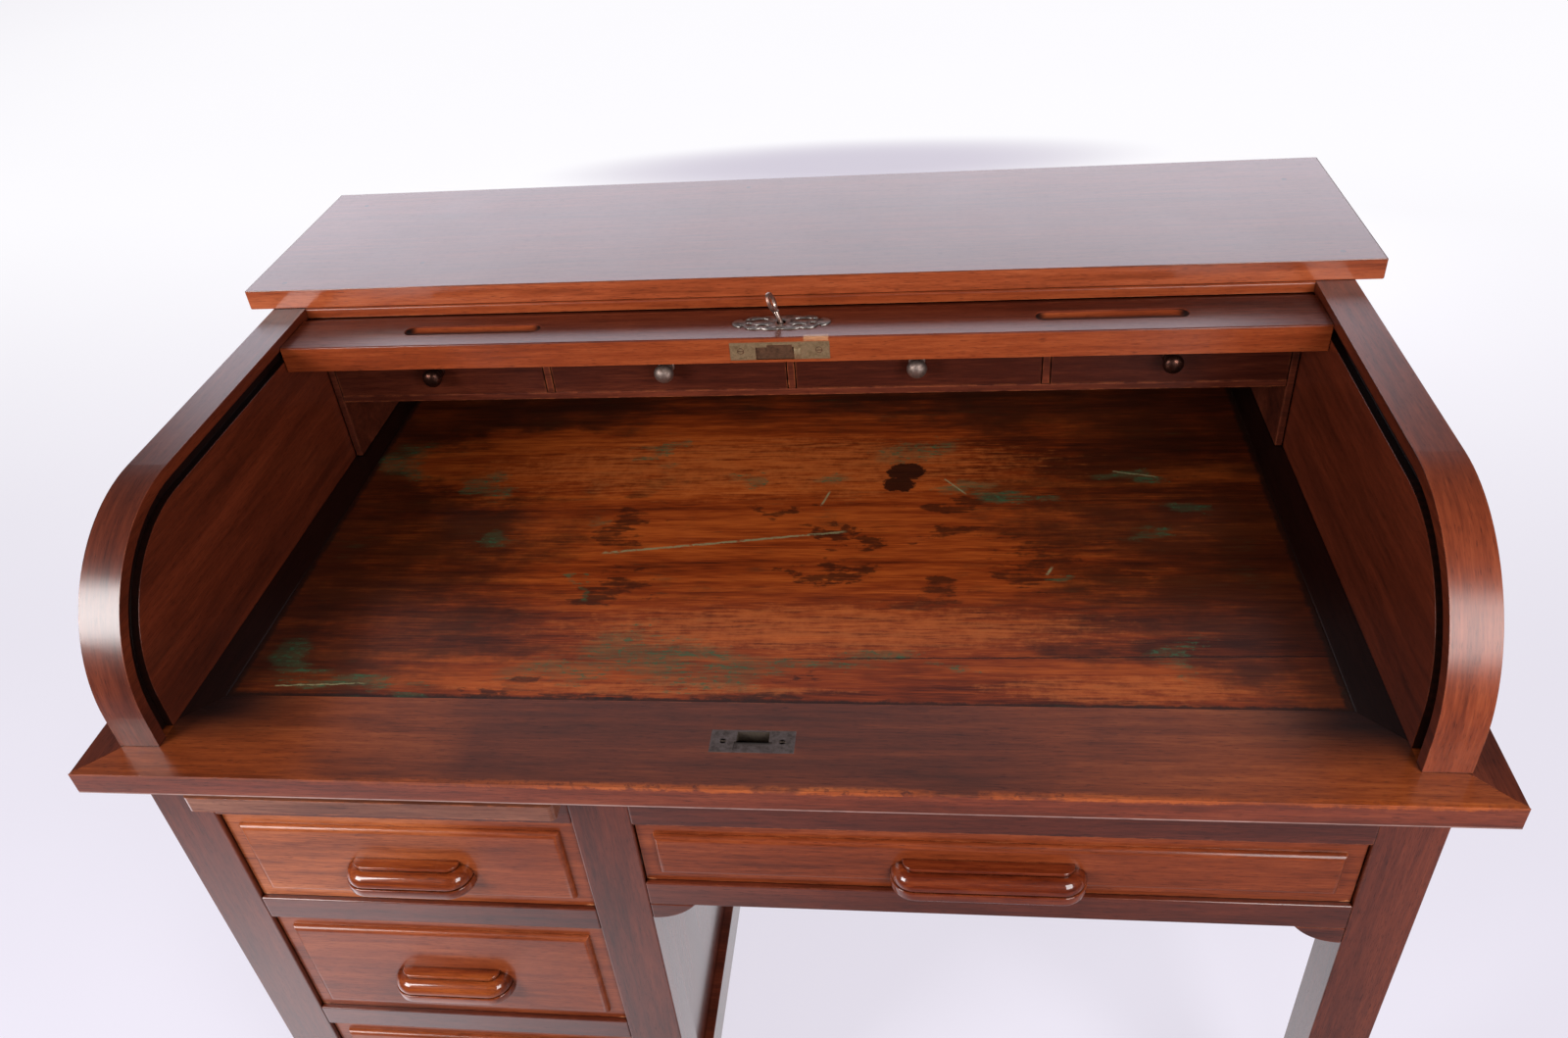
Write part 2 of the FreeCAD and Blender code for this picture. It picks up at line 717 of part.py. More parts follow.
def make_escutcheon():
    half_x = escutcheon_width / 2
    half_y = escutcheon_height / 2
    right = [(x * half_x, y * half_y) for x, y in zip(escutcheon_x_shares, escutcheon_y_shares)]
    left = [(-x, y) for x, y in reversed(right[:-1])]
    upper = right + left
    lower = [(x, -y) for x, y in reversed(upper[1:-1])]
    points = [(x, key_y + y) for x, y in upper + lower]
    plate = outline_z(points, lead_top, lead_top + escutcheon_thickness)
    hole = Part.makeCylinder(key_hole_radius, lead_thickness, Vector(0, key_y, lead_top - overrun), Vector(0, 0, 1))
    nodes["escutcheon"] = [plate.cut(hole)]


def make_key():
    """A key that leans a little in its worn hole: shank, collar and an open bow seen on edge."""
    seat = Vector(0, key_y, lead_top)
    shank_top = lead_top + key_reach - key_bow_width
    shank = Part.makeCylinder(key_shaft_radius, key_seat + key_reach - key_bow_width + key_bow_bar,
                              Vector(0, key_y, lead_top - key_seat), Vector(0, 0, 1))
    collar = Part.makeCylinder(key_collar_radius, key_collar_height,
                               Vector(0, key_y, shank_top - key_collar_height), Vector(0, 0, 1))
    bow_z = shank_top + key_bow_width / 2
    bow_base = Vector(-key_bow_thickness / 2, key_y, bow_z)
    bow = Part.makeCylinder(key_bow_width / 2, key_bow_thickness, bow_base, Vector(1, 0, 0))
    eye = Part.makeCylinder(key_bow_width / 2 - key_bow_bar, key_bow_thickness, bow_base, Vector(1, 0, 0))
    key = shank.fuse(collar).fuse(bow).cut(eye)
    nodes["key"] = [key.rotated(seat, Vector(0, 1, 0), -key_lean)]


def save():
    os.makedirs("parts", exist_ok=True)
    to_middle = Vector(0, -depth / 2, 0)
    for name, solids in nodes.items():
        shape = Part.makeCompound(solids) if len(solids) > 1 else solids[0]
        shape = shape.translated(to_middle)
        shape.exportStep("parts/%s.step" % name)
        print(name, len(solids), shape.isValid(), round(shape.Volume))


def main():
    make_posts()
    make_pedestal()
    make_front_rails()
    make_runners()
    make_drawers()
    make_writing_slide()
    make_bed()
    make_sides()
    make_top()
    make_drawer_unit()
    make_small_drawers()
    make_curtain()
    make_lead_rail()
    save()


if __name__ == "__main__":
    main()
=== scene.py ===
# %% [markdown]
# This lesson dresses a roll-top desk that was built as solids. The solids come in as a fixed frame, in metres,
# with X to the right, Y to the back and Z up from the floor. Boards that already have their shape keep it and
# get softened edges and a finish. Small turned and moulded pieces are made again in finer detail, because a
# solid for collision has no need of their grooves.

# %% Load the frame
import json
import math

import bmesh
import bpy
from mathutils import Matrix, Vector

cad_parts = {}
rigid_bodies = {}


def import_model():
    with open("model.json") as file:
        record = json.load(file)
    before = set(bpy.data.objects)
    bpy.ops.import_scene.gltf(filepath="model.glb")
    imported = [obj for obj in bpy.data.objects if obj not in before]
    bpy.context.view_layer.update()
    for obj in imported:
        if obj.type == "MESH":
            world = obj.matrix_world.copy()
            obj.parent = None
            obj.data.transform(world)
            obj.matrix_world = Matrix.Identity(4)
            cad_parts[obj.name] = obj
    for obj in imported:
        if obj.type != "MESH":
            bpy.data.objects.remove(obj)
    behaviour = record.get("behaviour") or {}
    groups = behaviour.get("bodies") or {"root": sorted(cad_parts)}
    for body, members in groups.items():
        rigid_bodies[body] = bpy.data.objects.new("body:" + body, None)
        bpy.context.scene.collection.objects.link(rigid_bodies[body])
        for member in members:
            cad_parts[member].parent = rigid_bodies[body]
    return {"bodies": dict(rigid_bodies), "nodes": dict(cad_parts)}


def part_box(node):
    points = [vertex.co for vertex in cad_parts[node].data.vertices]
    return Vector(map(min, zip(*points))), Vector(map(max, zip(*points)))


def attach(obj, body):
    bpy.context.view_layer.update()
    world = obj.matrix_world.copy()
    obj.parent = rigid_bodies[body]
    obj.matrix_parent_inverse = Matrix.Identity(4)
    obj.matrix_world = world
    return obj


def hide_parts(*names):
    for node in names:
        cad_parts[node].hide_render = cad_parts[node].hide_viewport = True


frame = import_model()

of_the_desk = set(frame["nodes"].values()) | set(frame["bodies"].values())
for leftover in set(bpy.data.objects) - of_the_desk:
    bpy.data.objects.remove(leftover)
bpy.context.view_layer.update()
shelf_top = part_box("shelf")[1].z
lead_low, lead_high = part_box("lead_rail")
side_low, side_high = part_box("side_right")
bed_low, bed_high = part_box("bed_front_rail")
panel_low, panel_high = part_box("writing_panel")

# %% [markdown]
# Blender works with linear light, but a colour is easier to write as it is read from a screen, from 0 to 255.
# One function turns the second into the first.

# %% Screen colours
def tint(red, green, blue):
    """A screen colour as linear light, by the standard screen curve."""
    linear = [((v / 255 + 0.055) / 1.055) ** 2.4 if v > 10 else v / 255 / 12.92 for v in (red, green, blue)]
    return (*linear, 1.0)


print("middle grey as linear light", round(tint(128, 128, 128)[0], 3))

# %% [markdown]
# A finish is a small net of nodes. Nets are long to write node by node, so one class wraps a socket: sums on
# it add Math nodes, and its node() method adds any other node. A Mix node has sockets for each kind of data,
# and the two rows of numbers give the places of its inputs and its output for vectors and for colours.

# %% A socket that can be used in sums
MIX_VECTORS = 4, 5, 1
MIX_COLOURS = 6, 7, 2


class Shade:
    """One socket of a material's nodes. Sums on it add Math nodes, and node() adds any other node."""

    def __init__(self, tree, socket=None):
        self.tree = tree
        self.socket = socket

    def node(self, kind, settings=None, sockets=None, out=0):
        made = self.tree.nodes.new("ShaderNode" + kind)
        for name, value in (settings or {}).items():
            if name == "stops":
                self.set_stops(made.color_ramp.elements, value)
            else:
                setattr(made, name, value)
        for name, value in (sockets or {}).items():
            plug(value, made.inputs[name])
        return Shade(self.tree, made.outputs[out])

    @staticmethod
    def set_stops(elements, stops):
        while len(elements) < len(stops):
            elements.new(1.0)
        for element, (place, colour) in zip(elements, stops):
            element.position = place
            element.color = colour

    def math(self, operation, first, second):
        return self.node("Math", {"operation": operation}, {0: first, 1: second})

    def __add__(self, other):
        return self.math("ADD", self, other)

    def __radd__(self, other):
        return self.math("ADD", other, self)

    def __sub__(self, other):
        return self.math("SUBTRACT", self, other)

    def __rsub__(self, other):
        return self.math("SUBTRACT", other, self)

    def __mul__(self, other):
        return self.math("MULTIPLY", self, other)

    def __rmul__(self, other):
        return self.math("MULTIPLY", other, self)

    def __truediv__(self, other):
        return self.math("DIVIDE", self, other)

    def __rtruediv__(self, other):
        return self.math("DIVIDE", other, self)

    def __pow__(self, other):
        return self.math("POWER", self, other)

    def __rpow__(self, other):
        return self.math("POWER", other, self)

    def most(self, other):
        return self.math("MAXIMUM", self, other)

    def size(self):
        return self.node("Math", {"operation": "ABSOLUTE"}, {0: self})

    def rise(self, low, high):
        """0 below low, 1 above high, and a smooth step between; low may be the larger."""
        return self.node("MapRange", {"interpolation_type": "SMOOTHSTEP"},
                         {"Value": self, "From Min": low, "From Max": high})

    def swing(self, amount):
        """Noise, which lies about one half, moved to lie about zero."""
        return (self - 0.5) * amount

    def axis(self, name):
        return self.node("SeparateXYZ", None, {0: self}, out=name)

    def mix(self, settings, sockets, under, over):
        """A Mix node by this mask, with its sockets for one kind of data."""
        first, second, result = sockets
        return self.node("Mix", settings, {0: self, first: under, second: over}, out=result)

    def blend(self, under, over):
        """Colour under where this mask is 0, and over where it is 1."""
        return self.mix({"data_type": "RGBA"}, MIX_COLOURS, under, over)

    def times(self, colour, amount):
        """Colour darkened or tinted by another colour, by this mask."""
        return self.mix({"data_type": "RGBA", "blend_type": "MULTIPLY"}, MIX_COLOURS, colour, amount)

    def blend_places(self, under, over):
        """Coordinates under where this mask is 0, and over where it is 1."""
        return self.mix({"data_type": "VECTOR"}, MIX_VECTORS, under, over)

    def mapped(self, place, stretch):
        return self.node("Mapping", None, {"Vector": self, "Location": place, "Scale": stretch})

    def noise(self, scale, detail=3.0, rough=0.55, warp=0.0):
        return self.node("TexNoise", None, {"Vector": self, "Scale": scale, "Detail": detail,
                                            "Roughness": rough, "Distortion": warp})

    def ramp(self, places, colours):
        return self.node("ValToRGB", {"stops": list(zip(places, colours))}, {0: self})


def plug(value, socket):
    """Links a shade to a socket, or sets a plain value there."""
    if isinstance(value, Shade):
        value.tree.links.new(value.socket, socket)
    else:
        socket.default_value = value


def new_finish(name):
    """An empty material: its surface shader and the Object coordinates as a Shade."""
    material = bpy.data.materials.new(name)
    material.use_nodes = True
    surface = material.node_tree.nodes["Principled BSDF"]
    return material, surface, Shade(material.node_tree).node("TexCoord", out="Object")


def feed(surface, **values):
    """Plugs shades or plain values into the surface shader's sockets, named with _ in place of spaces."""
    for name, value in values.items():
        plug(value, surface.inputs[name.replace("_", " ")])


print("named methods of a shade", len([name for name in vars(Shade) if not name.startswith("__")]))

# %% [markdown]
# Old furniture has marks: spots, scratches and stretches of another colour. They could be painted on an image,
# but an image is coarse from near by. Here a mark is a mask, 1 where it lies and 0 elsewhere, worked out from
# the place on the desk, so it stays put and sharp in any view.

# %% Masks for marks
STEP = 0.0006
SPOT_REACH = 1.8
START_TAPER, END_TAPER = 2.0, 4.0
CORE_SHARE = 0.3


def soft_spot(x, y, mark):
    """1 in the middle of a mark (x, y, half length, half width), and falling to 0 past its border."""
    centre_x, centre_y, half_x, half_y = mark
    return (((x - centre_x) / half_x) ** 2.0 + ((y - centre_y) / half_y) ** 2.0).rise(SPOT_REACH, 0.0)


def stroke(x, y, start, end, half_width):
    """1 along a straight scratch from start to end, which tapers at both."""
    run = Vector(end) - Vector(start)
    way = run.normalized()
    along = (x - start[0]) * way.x + (y - start[1]) * way.y
    across = (y - start[1]) * way.x - (x - start[0]) * way.y
    fade_in = along.rise(0.0, half_width * START_TAPER)
    fade_out = along.rise(run.length, run.length - half_width * END_TAPER)
    return across.size().rise(half_width, half_width * CORE_SHARE) * (fade_in * fade_out)


def any_of(masks):
    """The largest of several masks."""
    whole = masks[0]
    for mask in masks[1:]:
        whole = whole.most(mask)
    return whole


def spots(x, y, marks):
    """The largest of the soft spots of several marks."""
    return any_of([soft_spot(x, y, mark) for mark in marks])


print("a spot fades out at", round(SPOT_REACH ** 0.5, 2), "half sizes from its middle")

# %% [markdown]
# A rule is a function that turns a place into a mask. Some stretches of a board are told by one level alone,
# such as the edge under a shelf's top or the plain wood behind a drawer's front, so short functions make
# rules for these.

# %% Rules for levels
def lower(axis, level, fade=STEP):
    """A rule for what lies lower than a level along an axis."""
    return lambda place: place.axis(axis).rise(level, level - fade)


def behind(level):
    """A rule for what lies further back than a level."""
    return lambda place: place.axis("Y").rise(level, level + STEP)


def between_sides(place):
    """A rule for what lies between the curved sides."""
    return place.axis("X").size().rise(side_low.x + STEP, side_low.x)


print("between the sides", round(2 * side_low.x, 3))

# %% [markdown]
# The curtain runs in a groove at an even depth under the curved rim of each side. The groove's inside is
# painted nearly black as painted shade, and the grain of the rim bends with the curve. Both are worked out
# about the centre of that curve, from the distance and from the angle.

# %% Rules for the curved sides
SIDE_RADIUS = 0.160
GROOVE_DEPTH = 0.0185
GROOVE_HALF = 0.0068
RIM_FADE = 0.0015, 0.0005
side_middle = (side_low.x + side_high.x) / 2
side_half = (side_high.x - side_low.x) / 2


def from_curve(place):
    """How far a place lies ahead of the side's curve centre and above it."""
    return side_low.y + SIDE_RADIUS - place.axis("Y"), place.axis("Z") - (side_high.z - SIDE_RADIUS)


def groove(place):
    """A rule for the curtain's groove, a band at an even depth under the curved rim, which gets painted shade.
    """
    ahead, above = from_curve(place)
    depth = SIDE_RADIUS - (ahead.most(0.0) ** 2.0 + above.most(0.0) ** 2.0) ** 0.5
    band = (depth - GROOVE_DEPTH).size().rise(GROOVE_HALF + STEP, GROOVE_HALF)
    across = place.axis("X").size()
    under_face = across.rise(side_low.x + STEP / 2, side_low.x + STEP)
    return band * under_face * across.rise(side_middle + STEP, side_middle)


def out_of_groove(place):
    """A rule for all of a side but its groove."""
    return 1.0 - groove(place)


def along_rim(place):
    """Coordinates whose Y follows the rim round its curve; the boards' flat faces keep their own."""
    ahead, above = from_curve(place)
    turn = place.math("ARCTAN2", above.most(0.0), ahead.most(0.0)) * SIDE_RADIUS
    along = turn + (0.0 - ahead).most(0.0) - (0.0 - above).most(0.0)
    across = place.axis("X")
    curved = place.node("CombineXYZ", None, {"X": across, "Y": along})
    flat = (across.size() - side_middle).size().rise(*(side_half - fade for fade in RIM_FADE))
    return flat.blend_places(curved, place)


print("groove's middle", round(SIDE_RADIUS - GROOVE_DEPTH, 4), "from the curve's centre")

# %% [markdown]
# The bed is not one colour. Its ends are painted lighter than its middle as painted light, its back corners
# are painted black as the shadow that the curved sides cast, and hands have rubbed its front arrises bare. A
# thin painted highlight runs along its lower front arris. Noise is added to the place before a rule cuts it
# off, so the borders are ragged.

# %% Rules for the bed
CORNER_START, CORNER_END = 0.34, 0.50
CORNER_AHEAD = 0.015
ENDS_START, ENDS_FULL = 0.20, 0.42
ENDS_RAGGED = 0.3
WORN_BACK, WORN_DROP, WORN_FULL = 0.0065, 0.0050, 0.0020
WORN_LEFT, WORN_RIGHT = -0.56, -0.10
WORN_RAGGED_Y, WORN_RAGGED_Z = 0.008, 0.010


def corner_shadow(place):
    """A rule for the painted shadow that the curved sides cast on the bed's corners."""
    across = place.axis("X").size()
    back = place.axis("Y").rise(side_low.y - CORNER_AHEAD, bed_high.y - CORNER_AHEAD)
    return across.rise(CORNER_START, CORNER_END) * across.rise(side_low.x + STEP, side_low.x) * back


def lit_ends(place):
    """A rule for the bed's two ends, painted lighter and warmer than its middle as painted light."""
    return (place.axis("X").size() + place.noise(9.0, 4.0).swing(ENDS_RAGGED)).rise(ENDS_START, ENDS_FULL)


def worn_arris(place):
    """A rule for the bed's front arris, rubbed bare along most of its length."""
    ragged = place.noise(120.0, 5.0, 0.7)
    y = place.axis("Y") + ragged.swing(WORN_RAGGED_Y)
    z = place.axis("Z") + ragged.swing(WORN_RAGGED_Z)
    front = y.rise(bed_low.y + WORN_BACK, bed_low.y + WORN_FULL)
    upper = z.rise(bed_high.z - WORN_DROP, bed_high.z - WORN_FULL)
    stretches = place.noise(18.0, 4.0).rise(0.38, 0.50)
    return front * upper * place.axis("X").rise(WORN_LEFT, WORN_RIGHT) * ragged.rise(0.32, 0.50) * stretches


def foot_highlight(place):
    """A rule for the bed's lower front arris, where a thin pale line is a painted highlight."""
    front = place.axis("Y").rise(bed_low.y + 2 * STEP, bed_low.y + STEP)
    return front * place.axis("Z").rise(bed_low.z + 3 * STEP, bed_low.z + 2 * STEP)


print("bed's front rail", [round(v, 3) for v in bed_high - bed_low])

# %% [markdown]
# The shelf has a few nail holes, and the drawers have lost splinters from their lower corners. Each of these
# is a spot that is cut off hard. The top drawer is lighter at its left than at its right.

# %% Rules for the shelf and the drawers
NAIL_HOLES = [
    (-0.547, 0.348), (-0.413, 0.173), (-0.558, 0.131), (-0.066, 0.361), (0.546, 0.324), (0.559, 0.132)]
NAIL_RADIUS = 0.0026
DULL_START, DULL_END = -0.34, -0.24
CHIPPED = [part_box(node) for node in ("pedestal_drawer_1", "pedestal_drawer_2", "wide_drawer")]
CHIP_LENGTH, CHIP_HEIGHT = 0.0090, 0.0022
CHIP_RAGGED_X, CHIP_RAGGED_Z = 0.010, 0.004


def nail_holes(place):
    """A rule for the nail holes in the shelf's top."""
    holes = [(*hole, NAIL_RADIUS, NAIL_RADIUS) for hole in NAIL_HOLES]
    return spots(place.axis("X"), place.axis("Y"), holes).rise(0.1, 0.4)


def duller_right(place):
    """A rule for the right part of the top drawer, which is darker than its left part."""
    return place.axis("X").rise(DULL_START, DULL_END)


def corner_chips(place):
    """A rule for the splinters lost from the drawers' lower corners."""
    x = place.axis("X") + place.noise(260.0, 3.0).swing(CHIP_RAGGED_X)
    z = place.axis("Z") + place.noise(340.0, 3.0).swing(CHIP_RAGGED_Z)
    chips = [(end, low.z, CHIP_LENGTH, CHIP_HEIGHT) for low, high in CHIPPED for end in (low.x, high.x)]
    return spots(x, z, chips).rise(0.35, 0.55)


print("nail holes", len(NAIL_HOLES), "chipped drawers", len(CHIPPED))

# %% [markdown]
# The lead rail is the front edge of the curtain. Hands have kept its front third bright, painted shade darkens
# the bottoms and ends of its two finger scoops, and a long splinter has broken off above the lock.

# %% Rules for the lead rail
SPLINTER_LEFT, SPLINTER_RIGHT = 0.0245, 0.0505
SPLINTER_BACK = 0.0060, 0.0045
SPLINTER_DROP = 0.0046, 0.0040
SPLINTER_RAGGED_X, SPLINTER_RAGGED_Z = 0.004, 0.002
SCOOP_DEPTH = 0.005
SCOOP_HALF = 0.014
SCOOP_MIDDLE = 0.330
SCOOP_END = 0.075
BOTTOM_SHARES = 0.75, 1.1
END_SHARES = 0.82, 0.96
POLISH_BACK, POLISH_FRONT = 0.046, 0.018
POLISH_OUT, POLISH_IN = 0.55, 0.38


def raw_splinter(place):
    """A rule for the splinter that broke off the lead rail's front arris above the lock."""
    x = place.axis("X") + place.noise(300.0, 3.0).swing(SPLINTER_RAGGED_X)
    z = place.axis("Z") + place.noise(400.0, 3.0).swing(SPLINTER_RAGGED_Z)
    front = place.axis("Y").rise(*(lead_low.y + back for back in SPLINTER_BACK))
    upper = z.rise(*(lead_high.z - drop for drop in SPLINTER_DROP))
    run = x.rise(SPLINTER_LEFT, SPLINTER_LEFT + STEP) * x.rise(SPLINTER_RIGHT, SPLINTER_RIGHT - STEP)
    return run * upper * front


def scoop_shade(place):
    """A rule for the painted shade at the bottom and in the ends of the lead rail's finger scoops."""
    middle = (lead_low.y + lead_high.y) / 2
    inside = (place.axis("Y") - middle).size().rise(SCOOP_HALF + STEP, SCOOP_HALF)
    depth = lead_high.z - place.axis("Z")
    bottom = depth.rise(*(share * SCOOP_DEPTH for share in BOTTOM_SHARES))
    along = (place.axis("X").size() - SCOOP_MIDDLE).size()
    ends = along.rise(*(share * SCOOP_END for share in END_SHARES)) * depth.rise(STEP, 2 * STEP)
    return inside * bottom.most(ends) * depth.rise(SCOOP_DEPTH + 2 * STEP, SCOOP_DEPTH + STEP)


def front_polish(place):
    """A rule for the lead rail's front third, which hands have kept bright, and less so towards its ends."""
    front = place.axis("Y").rise(lead_low.y + POLISH_BACK, lead_low.y + POLISH_FRONT)
    return front * place.axis("X").size().rise(POLISH_OUT, POLISH_IN)


print("lead rail", [round(v, 3) for v in lead_high - lead_low])

# %% [markdown]
# The desk is mahogany: broad bands, fine streaks and short dark pores that all run one way along a board.
# A Wave texture would give bands that are too even, so noise stretched along the grain gives each of them, at
# its own width.

# %% Grain
GRAIN_STRETCH = 0.06
BAND_SCALE, BAND_PART = 16.0, 0.50
STREAK_SCALE, STREAK_PART = 150.0, 0.28
FIBRE_SCALE, FIBRE_PART = 560.0, 0.22
PORE_SCALE = 1500.0


def wood_grain(place, grain, seed):
    """Bands, streaks and fibres along the grain as one tone, with the fibres and pores for reuse."""
    stretch = [GRAIN_STRETCH if axis == grain else 1.0 for axis in "XYZ"]
    fibre = place.mapped((seed, seed * 0.7, seed * 1.3), stretch)
    bands = fibre.noise(BAND_SCALE, 4.0, 0.6, 0.5)
    streaks = fibre.noise(STREAK_SCALE, 3.0)
    fibres = fibre.noise(FIBRE_SCALE, 2.0)
    pores = fibre.noise(PORE_SCALE, 1.0).rise(0.58, 0.70)
    return bands * BAND_PART + streaks * STREAK_PART + fibres * FIBRE_PART, fibres, pores


print("grain is", round(1 / GRAIN_STRETCH, 1), "times as long as wide")

# %% [markdown]
# The polish is a clear coat. Where hands and sleeves have rubbed an edge, bare orange wood shows, and the
# Bevel node finds those edges by comparing a rounded normal with the true one. Painted shade and dirt darken
# the joints and grooves, which an Ambient Occlusion node finds, because little open air lies over them.

# %% Polished mahogany
EDGE_RADIUS = 0.0035
BARE_WOOD = tint(168, 90, 52)
GRIME = tint(120, 84, 70)
PORE_TINT = tint(110, 70, 60)
PORE_HEIGHT = 0.0004
CREVICE_REACH = 0.005
# Painted shade and dirt for the joints and grooves.
CREVICE_SHADE_AND_DIRT = tint(70, 48, 42)
TONE_STEPS = 0.36, 0.5, 0.64


def edge_mask(place):
    """1 on worn arrises and 0 on flat wood."""
    soft = place.node("Bevel", {"samples": 6}, {"Radius": EDGE_RADIUS})
    true = place.node("NewGeometry", out="Normal")
    same = place.node("VectorMath", {"operation": "DOT_PRODUCT"}, {0: soft, 1: true}, out="Value")
    return (1.0 - same).rise(0.03, 0.22)


def polished(surface, place, colour, fibres, pores, rough, coat, coat_rough, shine=None):
    """Wires a wood colour to the surface with a slightly uneven polish; shine is a rule for where it lies."""
    haze = place.noise(9.0, 3.0)
    height = fibres * 0.4 - pores
    feed(surface, Base_Color=colour, Roughness=rough - 0.08 + haze * 0.16 + pores * 0.1,
         Specular_IOR_Level=0.12, Coat_Weight=shine(place) * coat if shine else coat, Coat_Roughness=coat_rough,
         Normal=place.node("Bump", None, {"Strength": 0.12, "Distance": PORE_HEIGHT, "Height": height}))


def mahogany(name, grain, tones, seed=0.0, rough=0.4, coat=1.0, coat_rough=0.16, wear=0.8, parts=(),
             follow=None, shine=None):
    """Polished wood with its grain along X, Y or Z; tones are its dark, middle and light colours.

    parts are pairs of a rule and tones, for the stretches of the board that have another colour. follow gives
    the grain its own coordinates, for a board whose grain bends, and shine is a rule for where the polish has
    stayed.
    """
    material, surface, place = new_finish(name)
    tone, fibres, pores = wood_grain(follow(place) if follow else place, grain, seed)
    colour = tone.ramp(TONE_STEPS, tones)
    old = place.noise(5.0, 4.0, 0.6)
    colour = (old.rise(0.45, 0.75) * 0.35).times(colour, GRIME)
    rubbed = edge_mask(place) * place.noise(60.0, 3.0).rise(0.40, 0.62) * wear
    colour = rubbed.blend(colour, BARE_WOOD)
    for rule, part_tones in parts:
        colour = rule(place).blend(colour, tone.ramp(TONE_STEPS, part_tones))
    colour = (pores * 0.5).times(colour, PORE_TINT)
    # Painted shade and dirt: colour darkened where little open air lies over the wood.
    open_air = place.node("AmbientOcclusion", {"samples": 4}, {"Distance": CREVICE_REACH}, out="AO")
    colour = open_air.rise(0.70, 0.30).times(colour, CREVICE_SHADE_AND_DIRT)
    polished(surface, place, colour, fibres, pores, rough, coat, coat_rough, shine)
    return material


print("rubbed edges reach", EDGE_RADIUS, "and crevices", CREVICE_REACH)

# %% [markdown]
# Every board has three tones: dark, middle and light. They were chosen against the photograph, board by board,
# because an old desk is faded in some places and dark in others. Some sets are lighter or darker copies that
# paint light and shade.

# %% Tones of the wood
FRAME_TONES = tint(58, 21, 11), tint(90, 36, 20), tint(114, 50, 29)
BED_TONES = tint(66, 26, 12), tint(96, 40, 18), tint(124, 58, 28)
# Painted light for the bed's lighter ends.
BED_LIT_END_TONES = tint(92, 37, 15), tint(136, 62, 26), tint(164, 84, 40)
FACE_TONES = tint(72, 28, 15), tint(112, 47, 26), tint(138, 66, 38)
SHELF_TONES = tint(82, 35, 18), tint(104, 45, 22), tint(124, 57, 29)
SHELF_EDGE_TONES = tint(104, 44, 21), tint(148, 68, 36), tint(176, 92, 54)
EDGE_TONES = tint(92, 36, 17), tint(130, 55, 25), tint(154, 74, 38)
WARM_TONES = tint(112, 50, 24), tint(160, 82, 42), tint(190, 108, 62)
RED_TONES = tint(86, 34, 15), tint(128, 56, 26), tint(154, 77, 41)
DEEP_TONES = tint(62, 22, 12), tint(98, 38, 21), tint(126, 57, 33)
SMALL_TONES = tint(44, 15, 9), tint(66, 25, 15), tint(92, 41, 25)
# Painted light: the right rim's tones are a lighter copy of the left rim's, where the right lamp falls.
RIM_TONES = tint(62, 23, 13), tint(90, 37, 21), tint(116, 53, 32)
LIT_RIM_TONES = tint(84, 32, 16), tint(124, 54, 29), tint(154, 76, 44)
SIDE_TONES = tint(62, 23, 13), tint(90, 35, 19), tint(114, 47, 26)
ARRIS_TONES = tint(100, 40, 11), tint(158, 72, 24), tint(196, 104, 46)
BLACK_TONES = tint(18, 8, 6), tint(27, 11, 8), tint(38, 16, 11)
RAW_TONES = tint(150, 80, 46), tint(196, 120, 78), tint(226, 160, 116)
SPLINTER_TONES = tint(84, 46, 28), tint(150, 94, 62), tint(186, 132, 94)
# A painted highlight for the bed's lower front arris.
FOOT_HIGHLIGHT_TONES = tint(120, 88, 80), tint(156, 120, 112), tint(184, 150, 142)
SLIDE_TONES = tint(78, 40, 28), tint(118, 68, 50), tint(150, 96, 74)
INNER_TONES = tint(50, 19, 11), tint(76, 31, 19), tint(104, 47, 30)
PLAIN_TONES = tint(118, 74, 44), tint(158, 112, 72), tint(184, 142, 98)
print("red of the darkest and the lightest tone", round(BLACK_TONES[0][0], 4), round(RAW_TONES[2][0], 3))

# %% [markdown]
# Now each kind of board gets its finish. A board whose parts differ, such as the bed or a drawer with a plain
# inside, is still one material: the rules say where each set of tones goes, and the later ones lie on top.

# %% Wood finishes
BED_EDGE = 0.0020
SHELF_EDGE = 0.0008
LEAD_EDGE = 0.0010
DRAWER_FRONT = 0.0255
SMALL_FRONT = 0.0095
drawer_inside = behind(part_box("pedestal_drawer_1")[0].y + DRAWER_FRONT)
small_inside = behind(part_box("small_drawer_1")[0].y + SMALL_FRONT)
# The bed's lit ends are painted light, its corners painted shadow and its lower front arris a painted
# highlight.
bed_parts = [(lit_ends, BED_LIT_END_TONES), (lower("Z", bed_high.z - BED_EDGE), FACE_TONES),
             (corner_shadow, BLACK_TONES), (worn_arris, ARRIS_TONES), (foot_highlight, FOOT_HIGHLIGHT_TONES)]
shelf_parts = [(lower("Z", shelf_top - SHELF_EDGE), SHELF_EDGE_TONES), (nail_holes, BLACK_TONES)]
drawer_parts = [(drawer_inside, PLAIN_TONES), (corner_chips, RAW_TONES)]
# Painted shade lies in the lead rail's finger scoops.
lead_parts = [(lower("Z", lead_high.z - LEAD_EDGE), EDGE_TONES), (scoop_shade, BLACK_TONES),
              (raw_splinter, SPLINTER_TONES)]
